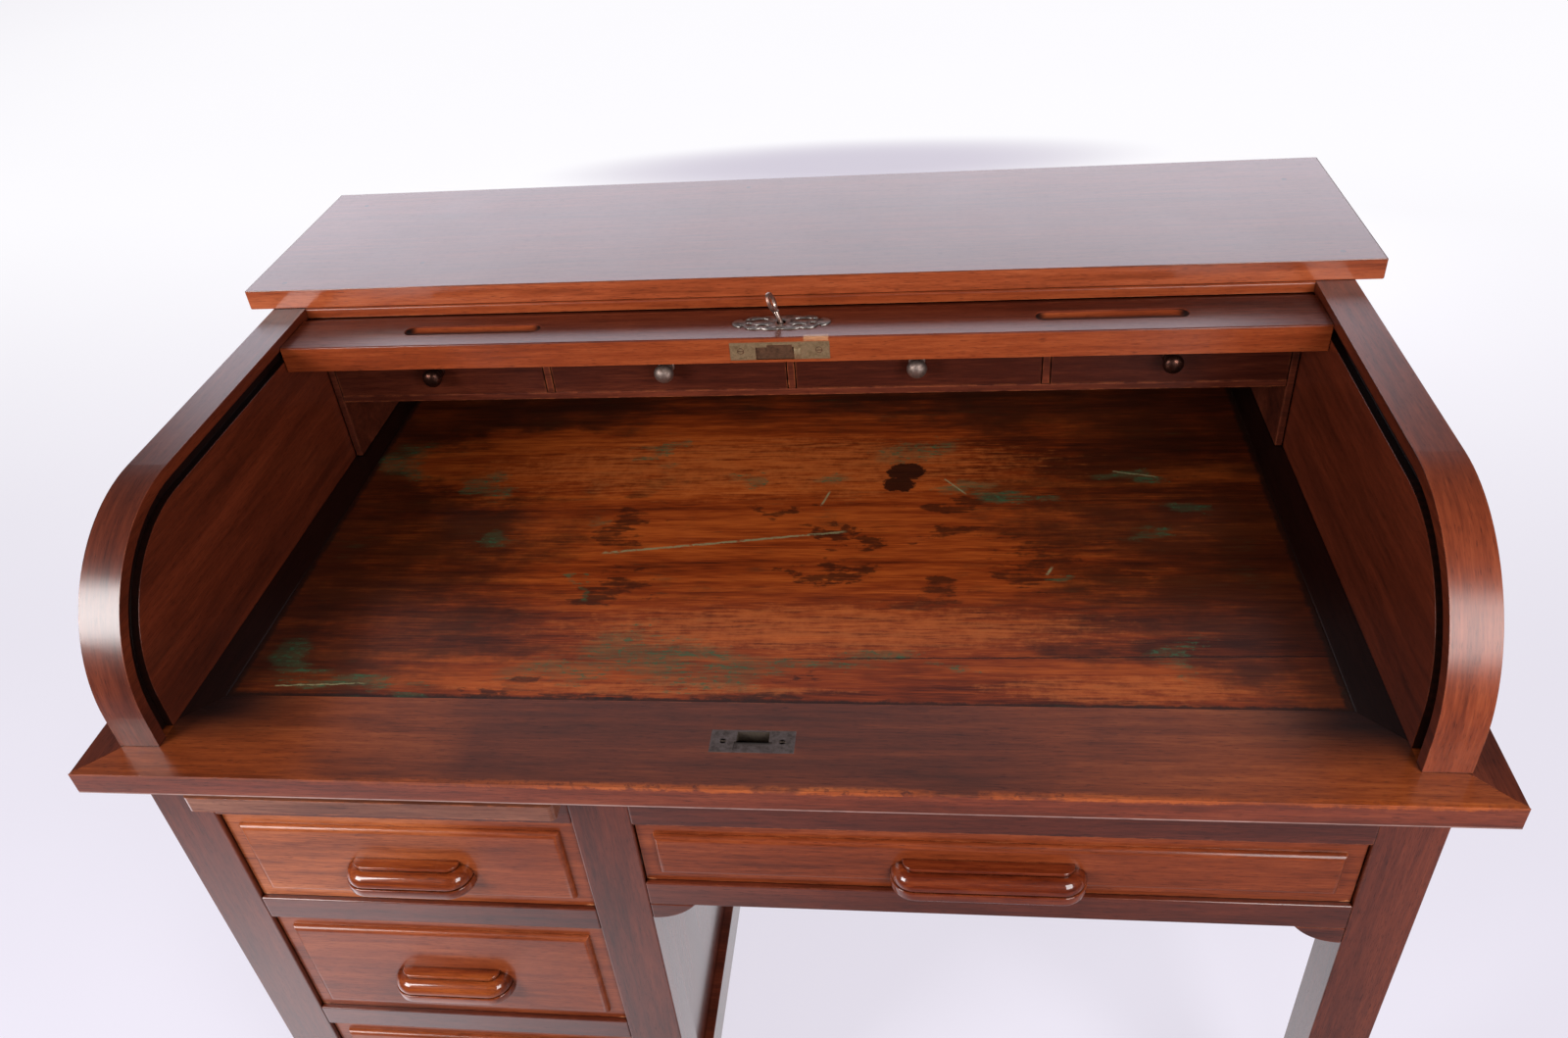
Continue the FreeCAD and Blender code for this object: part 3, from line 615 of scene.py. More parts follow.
# Painted shade: the groove on each side is painted nearly black.
side_parts = [(between_sides, SIDE_TONES), (groove, BLACK_TONES)]
frame_x = mahogany("frame_wood_x", "X", FRAME_TONES)
frame_y = mahogany("frame_wood_y", "Y", FRAME_TONES, seed=1.7)
frame_z = mahogany("frame_wood_z", "Z", FRAME_TONES, seed=3.1)
slide_x = mahogany("slide_wood", "X", SLIDE_TONES, seed=3.7, wear=1.0)
bed_x = mahogany("bed_wood_x", "X", BED_TONES, seed=2.3, coat_rough=0.24, wear=0.4, parts=bed_parts)
# The bed's side rails between the curved sides are painted nearly black: painted shade and dark grime.
bed_y = mahogany("bed_wood_y", "Y", RIM_TONES, seed=4.1, coat=0.6, coat_rough=0.25,
                 parts=[(between_sides, BLACK_TONES)])
shelf_x = mahogany("shelf_wood", "X", SHELF_TONES, seed=6.7, parts=shelf_parts)
fascia_x = mahogany("fascia_wood", "X", EDGE_TONES, seed=8.9, coat=0.6, coat_rough=0.25)
warm_x = mahogany("top_drawer_wood", "X", WARM_TONES, seed=5.3, coat=0.55,
                  parts=[(duller_right, RED_TONES), *drawer_parts])
red_x = mahogany("drawer_wood", "X", RED_TONES, seed=7.9, coat=0.55, parts=drawer_parts)
small_x = mahogany("small_drawer_wood", "X", SMALL_TONES, seed=10.7, coat=0.3, coat_rough=0.25, wear=0.4,
                   parts=[(small_inside, PLAIN_TONES)])
lead_x = mahogany("lead_rail_wood", "X", DEEP_TONES, seed=9.1, coat_rough=0.22, wear=0.5, parts=lead_parts,
                  shine=front_polish)
# The right side's rim takes the lighter tones, a painted light.
left_rim = mahogany("left_side_wood", "Y", RIM_TONES, seed=11.3, coat_rough=0.26, wear=0.5,
                    parts=side_parts, follow=along_rim, shine=out_of_groove)
right_rim = mahogany("right_side_wood", "Y", LIT_RIM_TONES, seed=14.1, coat=0.7, coat_rough=0.30, wear=0.5,
                     parts=side_parts, follow=along_rim, shine=out_of_groove)
plinth_x = mahogany("plinth_wood", "X", FRAME_TONES, seed=12.9)
inner_x = mahogany("inner_wood", "X", INNER_TONES, seed=13.7, rough=0.5, coat=0.3, wear=0.9)
print("wood finishes", len(bpy.data.materials))

# %% [markdown]
# The writing panel lost its cloth long ago. What is left is bare orange wood with streaks of dark old polish,
# flakes of blue-green paint or cloth along the edges, one ink blot, a long pale scratch and a crack between
# two boards. Painted shadow from the curved sides darkens its sides along with the old polish, and painted
# light brightens its middle and back. Each mark has its place in the panel's plane: a middle and half sizes,
# or two ends and a half width.

# %% Places of the marks on the writing panel
# Worn wood and painted light: a lighter middle between the painted shadows at the sides, and a lighter back.
WORN_AND_LIT_MIDDLE = [
    (0.01, -0.14, 0.27, 0.13), (0.04, -0.27, 0.36, 0.06), (-0.02, 0.06, 0.26, 0.15), (-0.30, 0.09, 0.13, 0.07)]
GREEN_MARKS = [
    (-0.452, 0.095, 0.030, 0.045), (-0.342, 0.052, 0.022, 0.030), (-0.152, 0.112, 0.016, 0.030),
    (-0.048, 0.055, 0.026, 0.014), (0.042, 0.062, 0.020, 0.016), (0.140, 0.112, 0.050, 0.024),
    (0.372, 0.052, 0.040, 0.012), (0.360, -0.045, 0.040, 0.010), (-0.215, -0.020, 0.014, 0.008),
    (-0.300, -0.050, 0.024, 0.012), (-0.455, -0.228, 0.034, 0.026), (-0.132, -0.222, 0.060, 0.038),
    (-0.190, -0.250, 0.060, 0.020), (-0.060, -0.246, 0.080, 0.028), (0.095, -0.226, 0.050, 0.012),
    (0.370, -0.230, 0.020, 0.030), (0.045, -0.244, 0.060, 0.010), (-0.390, -0.268, 0.070, 0.010),
    (0.240, 0.014, 0.036, 0.012), (0.190, 0.036, 0.036, 0.010), (-0.198, -0.112, 0.010, 0.008),
    (-0.195, -0.132, 0.008, 0.010), (-0.330, -0.285, 0.020, 0.006), (0.278, -0.113, 0.012, 0.006),
    (-0.185, -0.076, 0.016, 0.007), (0.405, 0.000, 0.020, 0.012), (0.165, -0.246, 0.020, 0.008)]
DARK_MARKS = [
    (-0.430, -0.100, 0.090, 0.060), (-0.180, -0.030, 0.036, 0.036), (-0.170, -0.130, 0.050, 0.022),
    (0.055, -0.045, 0.018, 0.018), (0.262, -0.060, 0.044, 0.038), (0.250, -0.100, 0.036, 0.028),
    (0.180, 0.006, 0.044, 0.016), (0.178, -0.050, 0.050, 0.016), (0.040, -0.106, 0.024, 0.018),
    (0.140, -0.138, 0.040, 0.020), (0.325, -0.102, 0.044, 0.014), (0.020, -0.002, 0.034, 0.012),
    (0.290, 0.070, 0.050, 0.030), (0.395, 0.072, 0.050, 0.032), (0.460, 0.035, 0.040, 0.032),
    (-0.160, 0.050, 0.044, 0.032), (0.010, -0.280, 0.080, 0.012), (-0.200, -0.284, 0.080, 0.010)]
SCRATCHES = [
    ((-0.190, -0.076), (0.066, -0.040), 0.0024), ((0.034, 0.004), (0.043, 0.034), 0.0016),
    ((0.262, -0.112), (0.270, -0.096), 0.0020), ((-0.460, -0.275), (-0.370, -0.270), 0.0012),
    ((0.165, 0.055), (0.190, 0.024), 0.0014), ((0.345, 0.066), (0.392, 0.054), 0.0014)]
INK_BLOTS = [(0.124, 0.069, 0.022, 0.017), (0.117, 0.044, 0.018, 0.014)]
# Pale wood; the last mark is painted light on the panel's back, which the shelf and lead rail shade.
PALE_AND_LIT_MARKS = [
    (0.31, -0.266, 0.13, 0.022), (-0.10, -0.272, 0.20, 0.010), (0.05, -0.19, 0.30, 0.040),
    (-0.05, 0.080, 0.36, 0.070)]
CRACK_Y, CRACK_SLOPE = -0.2325, 0.022
CRACK_LEFT, CRACK_RIGHT = -0.06, 0.08
CRACK_HALF, CRACK_CORE = 0.0011, 0.0004
CRACK_RAGGED, SCRATCH_RAGGED = 0.004, 0.005
BORDER_END, BORDER_SIDE, BORDER_JOINT = 0.012, 0.009, 0.001
print("panel marks", len(GREEN_MARKS) + len(DARK_MARKS) + len(INK_BLOTS))

# %% [markdown]
# The marks' edges must not look like ovals. Noise is added to a spot before it is cut off at a level, so the
# mark breaks up into streaks and flakes. Several noises serve all the marks: clouds, smears and lines along
# the boards, and small flakes.

# %% The writing panel's finish
PANEL_STEPS = 0.40, 0.5, 0.60
PANEL_TONES = tint(78, 25, 7), tint(132, 51, 15), tint(172, 79, 28)
PALE_AND_LIT_WOOD = tint(200, 104, 48)
POLISH_AND_SHADE_DARK = tint(44, 18, 9)
GREEN_PAINT = tint(52, 90, 62)
PALE_SCRATCH = tint(138, 132, 96)
INK = tint(30, 11, 8)
CRACK_DARK = tint(24, 11, 8)
EDGE_DARK = tint(28, 16, 12)


def old_polish_and_shade(x, y, cloud, smear, lines, ragged):
    """Dark polish with painted shadow: kept at the sides and the back, where the curved sides' shadow is
    painted too, in thin streaks everywhere, and in the stained patches.
    """
    worn = spots(x, y, WORN_AND_LIT_MIDDLE)
    # Old polish kept at the sides, darkened further as the painted shadow of the curved sides.
    kept = (1.0 - worn + cloud.swing(1.2) + smear.swing(0.8) + lines.swing(0.8)).rise(0.25, 1.15) * 0.85
    streaks = (smear.swing(2.0) + lines.swing(2.4) + cloud.swing(1.2)).rise(0.15, 0.85) * 0.6
    spot = spots(x, y, DARK_MARKS)
    broken = spot * 1.1 + smear.swing(2.6) + lines.swing(2.6) + ragged.swing(1.2)
    stains = broken.rise(0.45, 1.25) * spot.rise(0.0, 0.4) * 0.8
    clouds = (cloud.swing(3.0) + smear.swing(2.0)).rise(0.10, 1.10) * 0.6
    return any_of([kept, streaks, stains, clouds])


def green_flakes(x, y, cloud, lines, flakes):
    """Paint or cloth left in flecks and short strokes, with a thin film between them."""
    spot = spots(x, y, GREEN_MARKS)
    film = (spot + cloud.swing(2.4) + lines.swing(2.6)).rise(0.30, 1.30) * 0.36
    broken = spot * 0.55 + flakes.swing(3.4) + lines.swing(1.8)
    flecks = broken.rise(0.55, 0.90) * spot.rise(0.02, 0.25) * 0.85
    spread = (cloud.swing(2.4) + flakes.swing(3.0)).rise(0.75, 1.05) * 0.4
    return any_of([film, flecks, spread])


def panel_border(x, y, ragged):
    """Dirt in the joint round the panel."""
    middle = (panel_high.y + panel_low.y) / 2
    half = (panel_high.y - panel_low.y) / 2
    ends = x.size().rise(panel_high.x - BORDER_END, panel_high.x - BORDER_JOINT)
    sides = (y - middle).size().rise(half - BORDER_SIDE, half - BORDER_JOINT)
    return (ends.most(sides) + ragged.swing(1.4)).rise(0.35, 0.95)


def board_crack(x, y, ragged):
    """The dark crack between two boards, from its left end to the panel's right side."""
    across = y - CRACK_Y - x * CRACK_SLOPE + ragged.swing(CRACK_RAGGED)
    return across.size().rise(CRACK_HALF, CRACK_CORE) * x.rise(CRACK_LEFT, CRACK_RIGHT)


def writing_wood():
    material, surface, place = new_finish("writing_panel_wood")
    x, y = place.axis("X"), place.axis("Y")
    tone, fibres, pores = wood_grain(place, "X", 21.0)
    ragged = place.noise(90.0, 6.0, 0.7)
    cloud = place.noise(12.0, 5.0, 0.65)
    smear = place.mapped((3.0, 1.0, 0.0), (0.16, 1.0, 1.0)).noise(46.0, 5.0, 0.65, 0.4)
    lines = place.mapped((5.0, 2.0, 0.0), (0.07, 1.0, 1.0)).noise(320.0, 5.0, 0.7)
    flakes = place.mapped((8.0, 2.0, 0.0), (0.45, 1.0, 1.0)).noise(300.0, 6.0, 0.75)
    drift_x = x + place.mapped((2.0, 6.0, 0.0), (0.5, 1.0, 1.0)).noise(26.0, 5.0, 0.6).swing(0.30)
    drift_y = y + place.mapped((7.0, 4.0, 0.0), (0.5, 1.0, 1.0)).noise(30.0, 5.0, 0.6).swing(0.14)
    colour = tone.ramp(PANEL_STEPS, PANEL_TONES)
    # Old polish and painted shadow.
    colour = old_polish_and_shade(drift_x, drift_y, cloud, smear, lines, ragged).blend(colour, POLISH_AND_SHADE_DARK)
    # Pale wood and painted light.
    pale = spots(x, y, PALE_AND_LIT_MARKS) + lines.swing(2.4) + ragged.swing(1.2)
    colour = (pale.rise(0.5, 1.3) * 0.6).blend(colour, PALE_AND_LIT_WOOD)
    colour = (panel_border(x, y, ragged) * 0.85).blend(colour, EDGE_DARK)
    green = green_flakes((x + drift_x) / 2, (y + drift_y) / 2, cloud, lines, flakes)
    colour = green.blend(colour, GREEN_PAINT)
    scratch = any_of([stroke(x, y + ragged.swing(SCRATCH_RAGGED), *mark) for mark in SCRATCHES])
    colour = (scratch * flakes.rise(0.36, 0.50) * 0.85).blend(colour, PALE_SCRATCH)
    colour = (board_crack(x, y, ragged) * 0.85).blend(colour, CRACK_DARK)
    ink = (spots(x, y, INK_BLOTS) + ragged.swing(2.0)).rise(0.35, 0.60)
    colour = (ink * 0.92).blend(colour, INK)
    polished(surface, place, colour, fibres, pores, rough=0.46, coat=0.5, coat_rough=0.24)
    return material


panel_wood = writing_wood()
print("nodes of the panel's finish", len(panel_wood.node_tree.nodes))

# %% [markdown]
# The metal is old: a lock plate of dull brass, a grey pierced plate round the keyhole, worn knobs and a steel
# key with some rust. One finish serves them all. Clouds of tarnish change its colour and its roughness
# together, and the rubbed edges are brighter.

# %% Metal
TARNISH = 0.35, 0.70
PITTING = 0.0003


def aged_metal(name, bright, dull, rough):
    material, surface, place = new_finish(name)
    cloud = place.noise(170.0, 5.0, 0.65).rise(*TARNISH)
    specks = place.noise(900.0, 2.0).rise(0.58, 0.70)
    rubbed = edge_mask(place)
    colour = cloud.most(specks * 0.7).blend(bright, dull)
    colour = (rubbed * 0.6).blend(colour, bright)
    bumps = place.node("Bump", None, {"Strength": 0.2, "Distance": PITTING, "Height": cloud + specks})
    feed(surface, Base_Color=colour, Roughness=rough + cloud * 0.2 - rubbed * 0.1, Metallic=0.9, Normal=bumps)
    return material


brass = aged_metal("lock_brass", tint(196, 172, 136), tint(130, 106, 78), 0.42)
lock_dark = aged_metal("lock_hollow", tint(132, 98, 76), tint(76, 52, 40), 0.5)
strike_metal = aged_metal("strike_metal", tint(122, 111, 107), tint(92, 81, 77), 0.45)
strike_dark = aged_metal("strike_hollow", tint(138, 122, 108), tint(104, 90, 80), 0.5)
pewter = aged_metal("keyhole_plate_metal", tint(160, 152, 146), tint(70, 64, 60), 0.3)
knob_metal = aged_metal("worn_knob_metal", tint(156, 138, 130), tint(100, 82, 74), 0.42)
# Painted shade: a darker copy of the knob metal for the two outer knobs.
shaded_knob = aged_metal("brown_knob_metal", tint(84, 52, 42), tint(40, 22, 18), 0.26)
key_steel = aged_metal("key_steel", tint(190, 170, 160), tint(128, 76, 58), 0.28)
print("finishes with the metals", len(bpy.data.materials))

# %% [markdown]
# The curtain's slats are glued to canvas. It is on the inner side only, so a rule for the lowest sliver of a
# slat gives that side the colours of cloth.

# %% Slats with canvas
CANVAS_TONES = tint(150, 132, 104), tint(188, 172, 142), tint(188, 172, 142)
CANVAS_THICKNESS = 0.0008


def canvas_side(name, seed, axis, level):
    """Slat wood, with canvas on the side of the slats that lies lower than the level along the axis."""
    cloth = (lower(axis, level, STEP / 4), CANVAS_TONES)
    return mahogany(name, "X", FRAME_TONES, seed=seed, coat=0.5, parts=[cloth])


slat_wood = canvas_side("slat_wood", 15.1, "Z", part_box("tambour_slat_1")[0].z + CANVAS_THICKNESS)
tail_wood = canvas_side("tail_wood", 17.9, "Y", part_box("tambour_tail")[0].y + CANVAS_THICKNESS)
print("canvas", CANVAS_THICKNESS, "thick on", slat_wood.name, "and", tail_wood.name)

# %% [markdown]
# A solid's edges are perfectly sharp, and no real arris is. The boards keep their CAD mesh, and three
# modifiers finish them: Weld joins the loose triangles, Bevel rounds the sharp edges and Weighted Normal keeps
# the flats flat.

# %% Boards that keep their CAD shape
WELD_GAP = 0.00001
ARRIS = 0.0014
FINE_ARRIS = 0.0003
ARRIS_ANGLE = math.radians(35)


def soften(node, finish, width):
    board = frame["nodes"][node]
    board.data.materials.clear()
    board.data.materials.append(finish)
    weld = board.modifiers.new("join", "WELD")
    weld.merge_threshold = WELD_GAP
    arris = board.modifiers.new("arris", "BEVEL")
    arris.width = width
    arris.segments = 3
    arris.limit_method = "ANGLE"
    arris.angle_limit = ARRIS_ANGLE
    flats = board.modifiers.new("flats", "WEIGHTED_NORMAL")
    flats.keep_sharp = True


board_finishes = {
    shelf_x: ["shelf"],
    fascia_x: ["shelf_fascia"],
    bed_x: ["bed_front_rail", "bed_back_rail"],
    bed_y: ["bed_left_rail", "bed_right_rail"],
    frame_x: ["kneehole_top_rail", "kneehole_rail", "kneehole_brackets", "pedestal_rails"],
    frame_y: ["kneehole_aprons", "drawer_runners"],
    frame_z: ["post_front_left", "post_front_centre", "leg_front_right", "post_back_left", "post_back_centre",
              "leg_back_right", "pedestal_side_left", "pedestal_side_right", "pedestal_back"],
    slide_x: ["writing_slide"],
    plinth_x: ["pedestal_plinth"],
    left_rim: ["side_left"],
    right_rim: ["side_right"],
    warm_x: ["pedestal_drawer_1"],
    red_x: ["pedestal_drawer_2", "pedestal_drawer_3", "wide_drawer"],
    inner_x: ["case_back", "unit_boards", "unit_uprights"],
}
fine_finishes = {
    small_x: ["small_drawer_%d" % number for number in range(1, 5)],
    lead_x: ["lead_rail"],
    panel_wood: ["writing_panel"],
    lock_dark: ["lock_bolt"],
    slat_wood: ["tambour_flat_slats"] + ["tambour_slat_%d" % number for number in range(1, 8)],
    tail_wood: ["tambour_tail"],
}
for finishes, width in ((board_finishes, ARRIS), (fine_finishes, FINE_ARRIS)):
    for finish, nodes in finishes.items():
        for node in nodes:
            soften(node, finish, width)
print("boards", sum(len(nodes) for nodes in [*board_finishes.values(), *fine_finishes.values()]))

# %% [markdown]
# A few helpers serve all the new pieces. Points along an arc draw the round stretches of an outline, a chain
# of edges is what Blender spins or extrudes, and a finished mesh becomes an object that rides on its body and
# stands for its solid.

# %% Helpers for new pieces
SHARP_ANGLE = math.radians(42)


def arc(centre, radii, start, end, steps):
    """Points along part of an ellipse, from one angle in degrees to another."""
    (x, y), (wide, tall) = centre, radii
    turns = [math.radians(start + (end - start) * step / steps) for step in range(steps + 1)]
    return [(x + wide * math.cos(turn), y + tall * math.sin(turn)) for turn in turns]


def bend(centre, radius, start, end, steps):
    """Points along part of a circle."""
    return arc(centre, (radius, radius), start, end, steps)


def open_chain(mesh, points):
    """Vertices at the points and the edges between them, as one list."""
    verts = [mesh.verts.new(point) for point in points]
    return verts + [mesh.edges.new(pair) for pair in zip(verts[:-1], verts[1:])]


def only(parts, kind):
    """The vertices, the edges or the faces among what an operator made."""
    return [part for part in parts if isinstance(part, kind)]


def smooth(mesh):
    for skin in mesh.faces:
        skin.smooth = True


def new_piece(name, mesh, body, node, finishes):
    """An object for a finished bmesh, which stands for a CAD node and rides on its body."""
    bmesh.ops.recalc_face_normals(mesh, faces=mesh.faces)
    data = bpy.data.meshes.new(name)
    mesh.to_mesh(data)
    mesh.free()
    for finish in finishes:
        data.materials.append(finish)
    data.set_sharp_from_angle(angle=SHARP_ANGLE)
    piece = bpy.data.objects.new(name, data)
    bpy.context.scene.collection.objects.link(piece)
    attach(piece, body)
    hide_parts(node)
    return piece


print("a quarter of a round in 4 steps has", len(bend((0.0, 0.0), 1.0, 0, 90, 4)), "points")

# %% [markdown]
# A pull is a moulded bar: seen from the side it has a flat plate on top, a fat roll, a groove and a lip, and
# it is hollow underneath for the fingers. The same outline runs along the front and turns round both ends, so
# the outline is spun a quarter turn, drawn straight along X, and spun again.

# %% Outline of a drawer pull
PLATE_SHARE = 0.50
ROLL_SHARE = 0.955
WAIST_SHARE = -0.10
PLATE_THICKNESS = 0.0034
QUIRK = 0.0014
SMALL_ROUND = 0.0012
LIP_ROUND = 0.0022
PULL_WALL = 0.0055
FINGER_GAP = 0.0026


def pull_outline(reach, half):
    """Half the pull's section, from the top of the plate round the front to the finger hollow."""
    plate = reach * PLATE_SHARE
    step = half - PLATE_THICKNESS
    waist = half * WAIST_SHARE
    roll_front = reach * ROLL_SHARE
    lip_top = waist - 2 * QUIRK
    inner = reach - PULL_WALL
    roof = lip_top - QUIRK
    top = bend((plate - SMALL_ROUND, half - SMALL_ROUND), SMALL_ROUND, 90, 0, 4)
    roll = arc((plate - QUIRK, waist), (roll_front - plate + QUIRK, step - QUIRK - waist), 88, -6, 14)
    lip = bend((reach - SMALL_ROUND, lip_top - SMALL_ROUND), SMALL_ROUND, 90, 0, 4)
    foot = bend((reach - LIP_ROUND, LIP_ROUND - half), LIP_ROUND, 0, -90, 5)
    hollow = bend((inner - LIP_ROUND, roof - LIP_ROUND), LIP_ROUND, 0, 90, 5)
    return [(0.0, half), *top, (plate, step), *roll, (roll_front - QUIRK, lip_top), *lip, *foot,
            (inner, -half), *hollow, (FINGER_GAP, roof)]


pull_low, pull_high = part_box("wide_pull")
pull_size = pull_high - pull_low
print("points in the wide pull's outline", len(pull_outline(pull_size.y, pull_size.z / 2)))

# %% Drawer pulls
END_STEPS = 14


def quarter_turn(mesh, parts, centre):
    """Spins a chain of edges a quarter turn about an upright line, and gives the chain at its end."""
    turned_chain = bmesh.ops.spin(mesh, geom=parts, cent=centre, axis=(0, 0, 1), angle=math.pi / 2,
                                  steps=END_STEPS, use_merge=False, use_duplicate=False)
    return turned_chain["geom_last"]


def make_pull(node, body, finish):
    low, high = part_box(node)
    face = high.y
    middle = (low + high) / 2
    reach = high.y - low.y
    outline = pull_outline(reach, (high.z - low.z) / 2)
    mesh = bmesh.new()
    chain = open_chain(mesh, [(low.x + reach - out, face, middle.z + up) for out, up in outline])
    chain = quarter_turn(mesh, chain, (low.x + reach, face, 0))
    drawn = bmesh.ops.extrude_edge_only(mesh, edges=only(chain, bmesh.types.BMEdge))["geom"]
    points = only(drawn, bmesh.types.BMVert)
    bmesh.ops.translate(mesh, verts=points, vec=(high.x - low.x - 2 * reach, 0, 0))
    edges = [edge for edge in only(drawn, bmesh.types.BMEdge) if all(vert in points for vert in edge.verts)]
    quarter_turn(mesh, points + edges, (high.x - reach, face, 0))
    bmesh.ops.remove_doubles(mesh, verts=mesh.verts, dist=WELD_GAP)
    bmesh.ops.holes_fill(mesh, edges=mesh.edges, sides=0)
    smooth(mesh)
    return new_piece(node + "_moulded", mesh, body, node, [finish])


PULL_TONES = tint(70, 24, 9), tint(124, 51, 19), tint(162, 80, 34)
WIDE_PULL_TONES = tint(54, 17, 8), tint(98, 35, 14), tint(134, 59, 26)
handled = {"rough": 0.28, "coat_rough": 0.06, "wear": 0.3}
pull_wood = mahogany("pull_wood", "X", PULL_TONES, seed=19.3, **handled)
wide_pull_wood = mahogany("wide_pull_wood", "X", WIDE_PULL_TONES, seed=20.9, **handled)
for number in (1, 2, 3):
    make_pull("pedestal_pull_%d" % number, "pedestal_drawer_%d" % number, pull_wood)
pull = make_pull("wide_pull", "wide_drawer", wide_pull_wood)
print("pull faces", len(pull.data.polygons))

# %% [markdown]
# Knobs are turned, so half of their outline spun a full turn is the whole shape: a washer, a thick neck with a
# hollow and a head like a flattened ball.

# %% Small knobs
WASHER_SHARE = 0.83
NECK_SHARE = 0.62
HEAD_SHARE = 0.30
WASHER = 0.0024
NECK_MIDDLE_SHARE, NECK_HALF_SHARE = 2.6, 1.4
KNOB_STEPS = 40


def knob_outline(radius, reach):
    """Half the knob's section, as pairs of distance from the axis and distance from the drawer."""
    washer = radius * WASHER_SHARE
    neck = radius * NECK_SHARE
    head = reach * HEAD_SHARE
    foot = bend((washer - WASHER / 2, WASHER / 2), WASHER / 2, -90, 90, 6)
    hollow = arc((neck + WASHER, NECK_MIDDLE_SHARE * WASHER), (WASHER, NECK_HALF_SHARE * WASHER), 240, 120, 6)
    return [(0.0, 0.0), *foot, *hollow, *arc((0.0, reach - head), (radius, head), -50, 90, 16)]


def make_knob(number, finish):
    node = "small_knob_%d" % number
    low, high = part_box(node)
    middle = (low + high) / 2
    mesh = bmesh.new()
    outline = knob_outline((high.x - low.x) / 2, high.y - low.y)
    chain = open_chain(mesh, [(middle.x + out, high.y - away, middle.z) for out, away in outline])
    bmesh.ops.spin(mesh, geom=chain, cent=(middle.x, high.y, middle.z), axis=(0, 1, 0), angle=2 * math.pi,
                   steps=KNOB_STEPS, use_merge=True, use_duplicate=False)
    bmesh.ops.remove_doubles(mesh, verts=mesh.verts, dist=WELD_GAP)
    smooth(mesh)
    return new_piece(node + "_turned", mesh, "small_drawer_%d" % number, node, [finish])


# Knobs 1 and 4 take the darker copy of the knob metal as painted shade.
for number, finish in ((1, shaded_knob), (2, knob_metal), (3, knob_metal), (4, shaded_knob)):
    knob = make_knob(number, finish)
print("knob faces", len(knob.data.polygons))

# %% [markdown]
# The plate round the keyhole is thin pierced metal: lobed sides, a pointed leaf at each end and slots between
# scrolls. A quarter of its outline is drawn with arcs and mirrored twice. The outline and the holes are closed
# chains of edges, filled with triangles that leave the holes open, and then drawn up to the plate's thickness.

# %% Keyhole plate
PLATE_WAIST = (0.0, 0.0134)
PLATE_LOBE = arc((0.0090, 0.0090), (0.0135, 0.0060), 120, 35, 6)
PLATE_EAR = arc((0.0275, 0.0060), (0.0105, 0.0077), 130, 0, 8)
PLATE_NOTCH = (0.0396, 0.0050)
PLATE_LEAF = arc((0.0400, 0.0), (0.0110, 0.0085), 80, 0, 6)
PLATE_OUTLINE = [PLATE_WAIST, *PLATE_LOBE, *PLATE_EAR, PLATE_NOTCH, *PLATE_LEAF]
PLATE_SLOTS = [
    (0.0225, 0.0062, 0.0085, 0.0022), (0.0190, -0.0066, 0.0070, 0.0020), (0.0330, -0.0034, 0.0032, 0.0026),
    (0.0345, 0.0050, 0.0022, 0.0020)]
KEYHOLE_RADIUS = 0.0048
PLATE_RIM = 0.0005
SLOT_STEPS, KEYHOLE_STEPS = 14, 24


def ring(mesh, centre, half_x, half_y, steps):
    """A closed chain of edges round an ellipse."""
    made = bmesh.ops.create_circle(mesh, cap_ends=False, radius=1.0, segments=steps)["verts"]
    bmesh.ops.scale(mesh, vec=(half_x, half_y, 1.0), verts=made)
    bmesh.ops.translate(mesh, vec=centre, verts=made)


def sharp_edges(mesh, angle):
    """The edges at which two faces meet at more than an angle."""
    return [edge for edge in mesh.edges if edge.is_manifold and edge.calc_face_angle() > angle]


def round_edges(mesh, edges, width):
    bmesh.ops.bevel(mesh, geom=edges, offset=width, affect="EDGES", segments=2, profile=0.5, material=-1)


def make_keyhole_plate():
    low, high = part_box("escutcheon")
    middle = (low + high) / 2
    mesh = bmesh.new()
    right_half = PLATE_OUTLINE + [(x, -y) for x, y in reversed(PLATE_OUTLINE[:-1])]
    outline = right_half + [(-x, y) for x, y in reversed(right_half[1:-1])]
    chain = open_chain(mesh, [(middle.x + x, middle.y + y, low.z) for x, y in outline])
    mesh.edges.new((chain[len(outline) - 1], chain[0]))
    for x, y, half_x, half_y in PLATE_SLOTS:
        for side in (-1, 1):
            ring(mesh, (middle.x + side * x, middle.y + y, low.z), half_x, half_y, SLOT_STEPS)
    ring(mesh, (middle.x, middle.y, low.z), KEYHOLE_RADIUS, KEYHOLE_RADIUS, KEYHOLE_STEPS)
    bmesh.ops.triangle_fill(mesh, use_beauty=True, edges=mesh.edges)
    drawn = bmesh.ops.extrude_face_region(mesh, geom=mesh.faces[:])["geom"]
    bmesh.ops.translate(mesh, vec=(0, 0, high.z - low.z), verts=only(drawn, bmesh.types.BMVert))
    bmesh.ops.recalc_face_normals(mesh, faces=mesh.faces)
    rims = [edge for edge in sharp_edges(mesh, 1.2) if all(vert.co.z > middle.z for vert in edge.verts)]
    round_edges(mesh, rims, PLATE_RIM)
    return new_piece("keyhole_plate", mesh, "lead_rail", "escutcheon", [pewter])


plate = make_keyhole_plate()
print("keyhole plate faces", len(plate.data.polygons))

# %% [markdown]
# The key has been left in the lock and leans in its worn hole. Its shank and collar are short cones. The bow
# is a ring round an oval hole: the oval is extruded, the new edge is scaled up, and the flat ring gets its
# thickness. The key is made upright and then turned, leaned and set in its place.

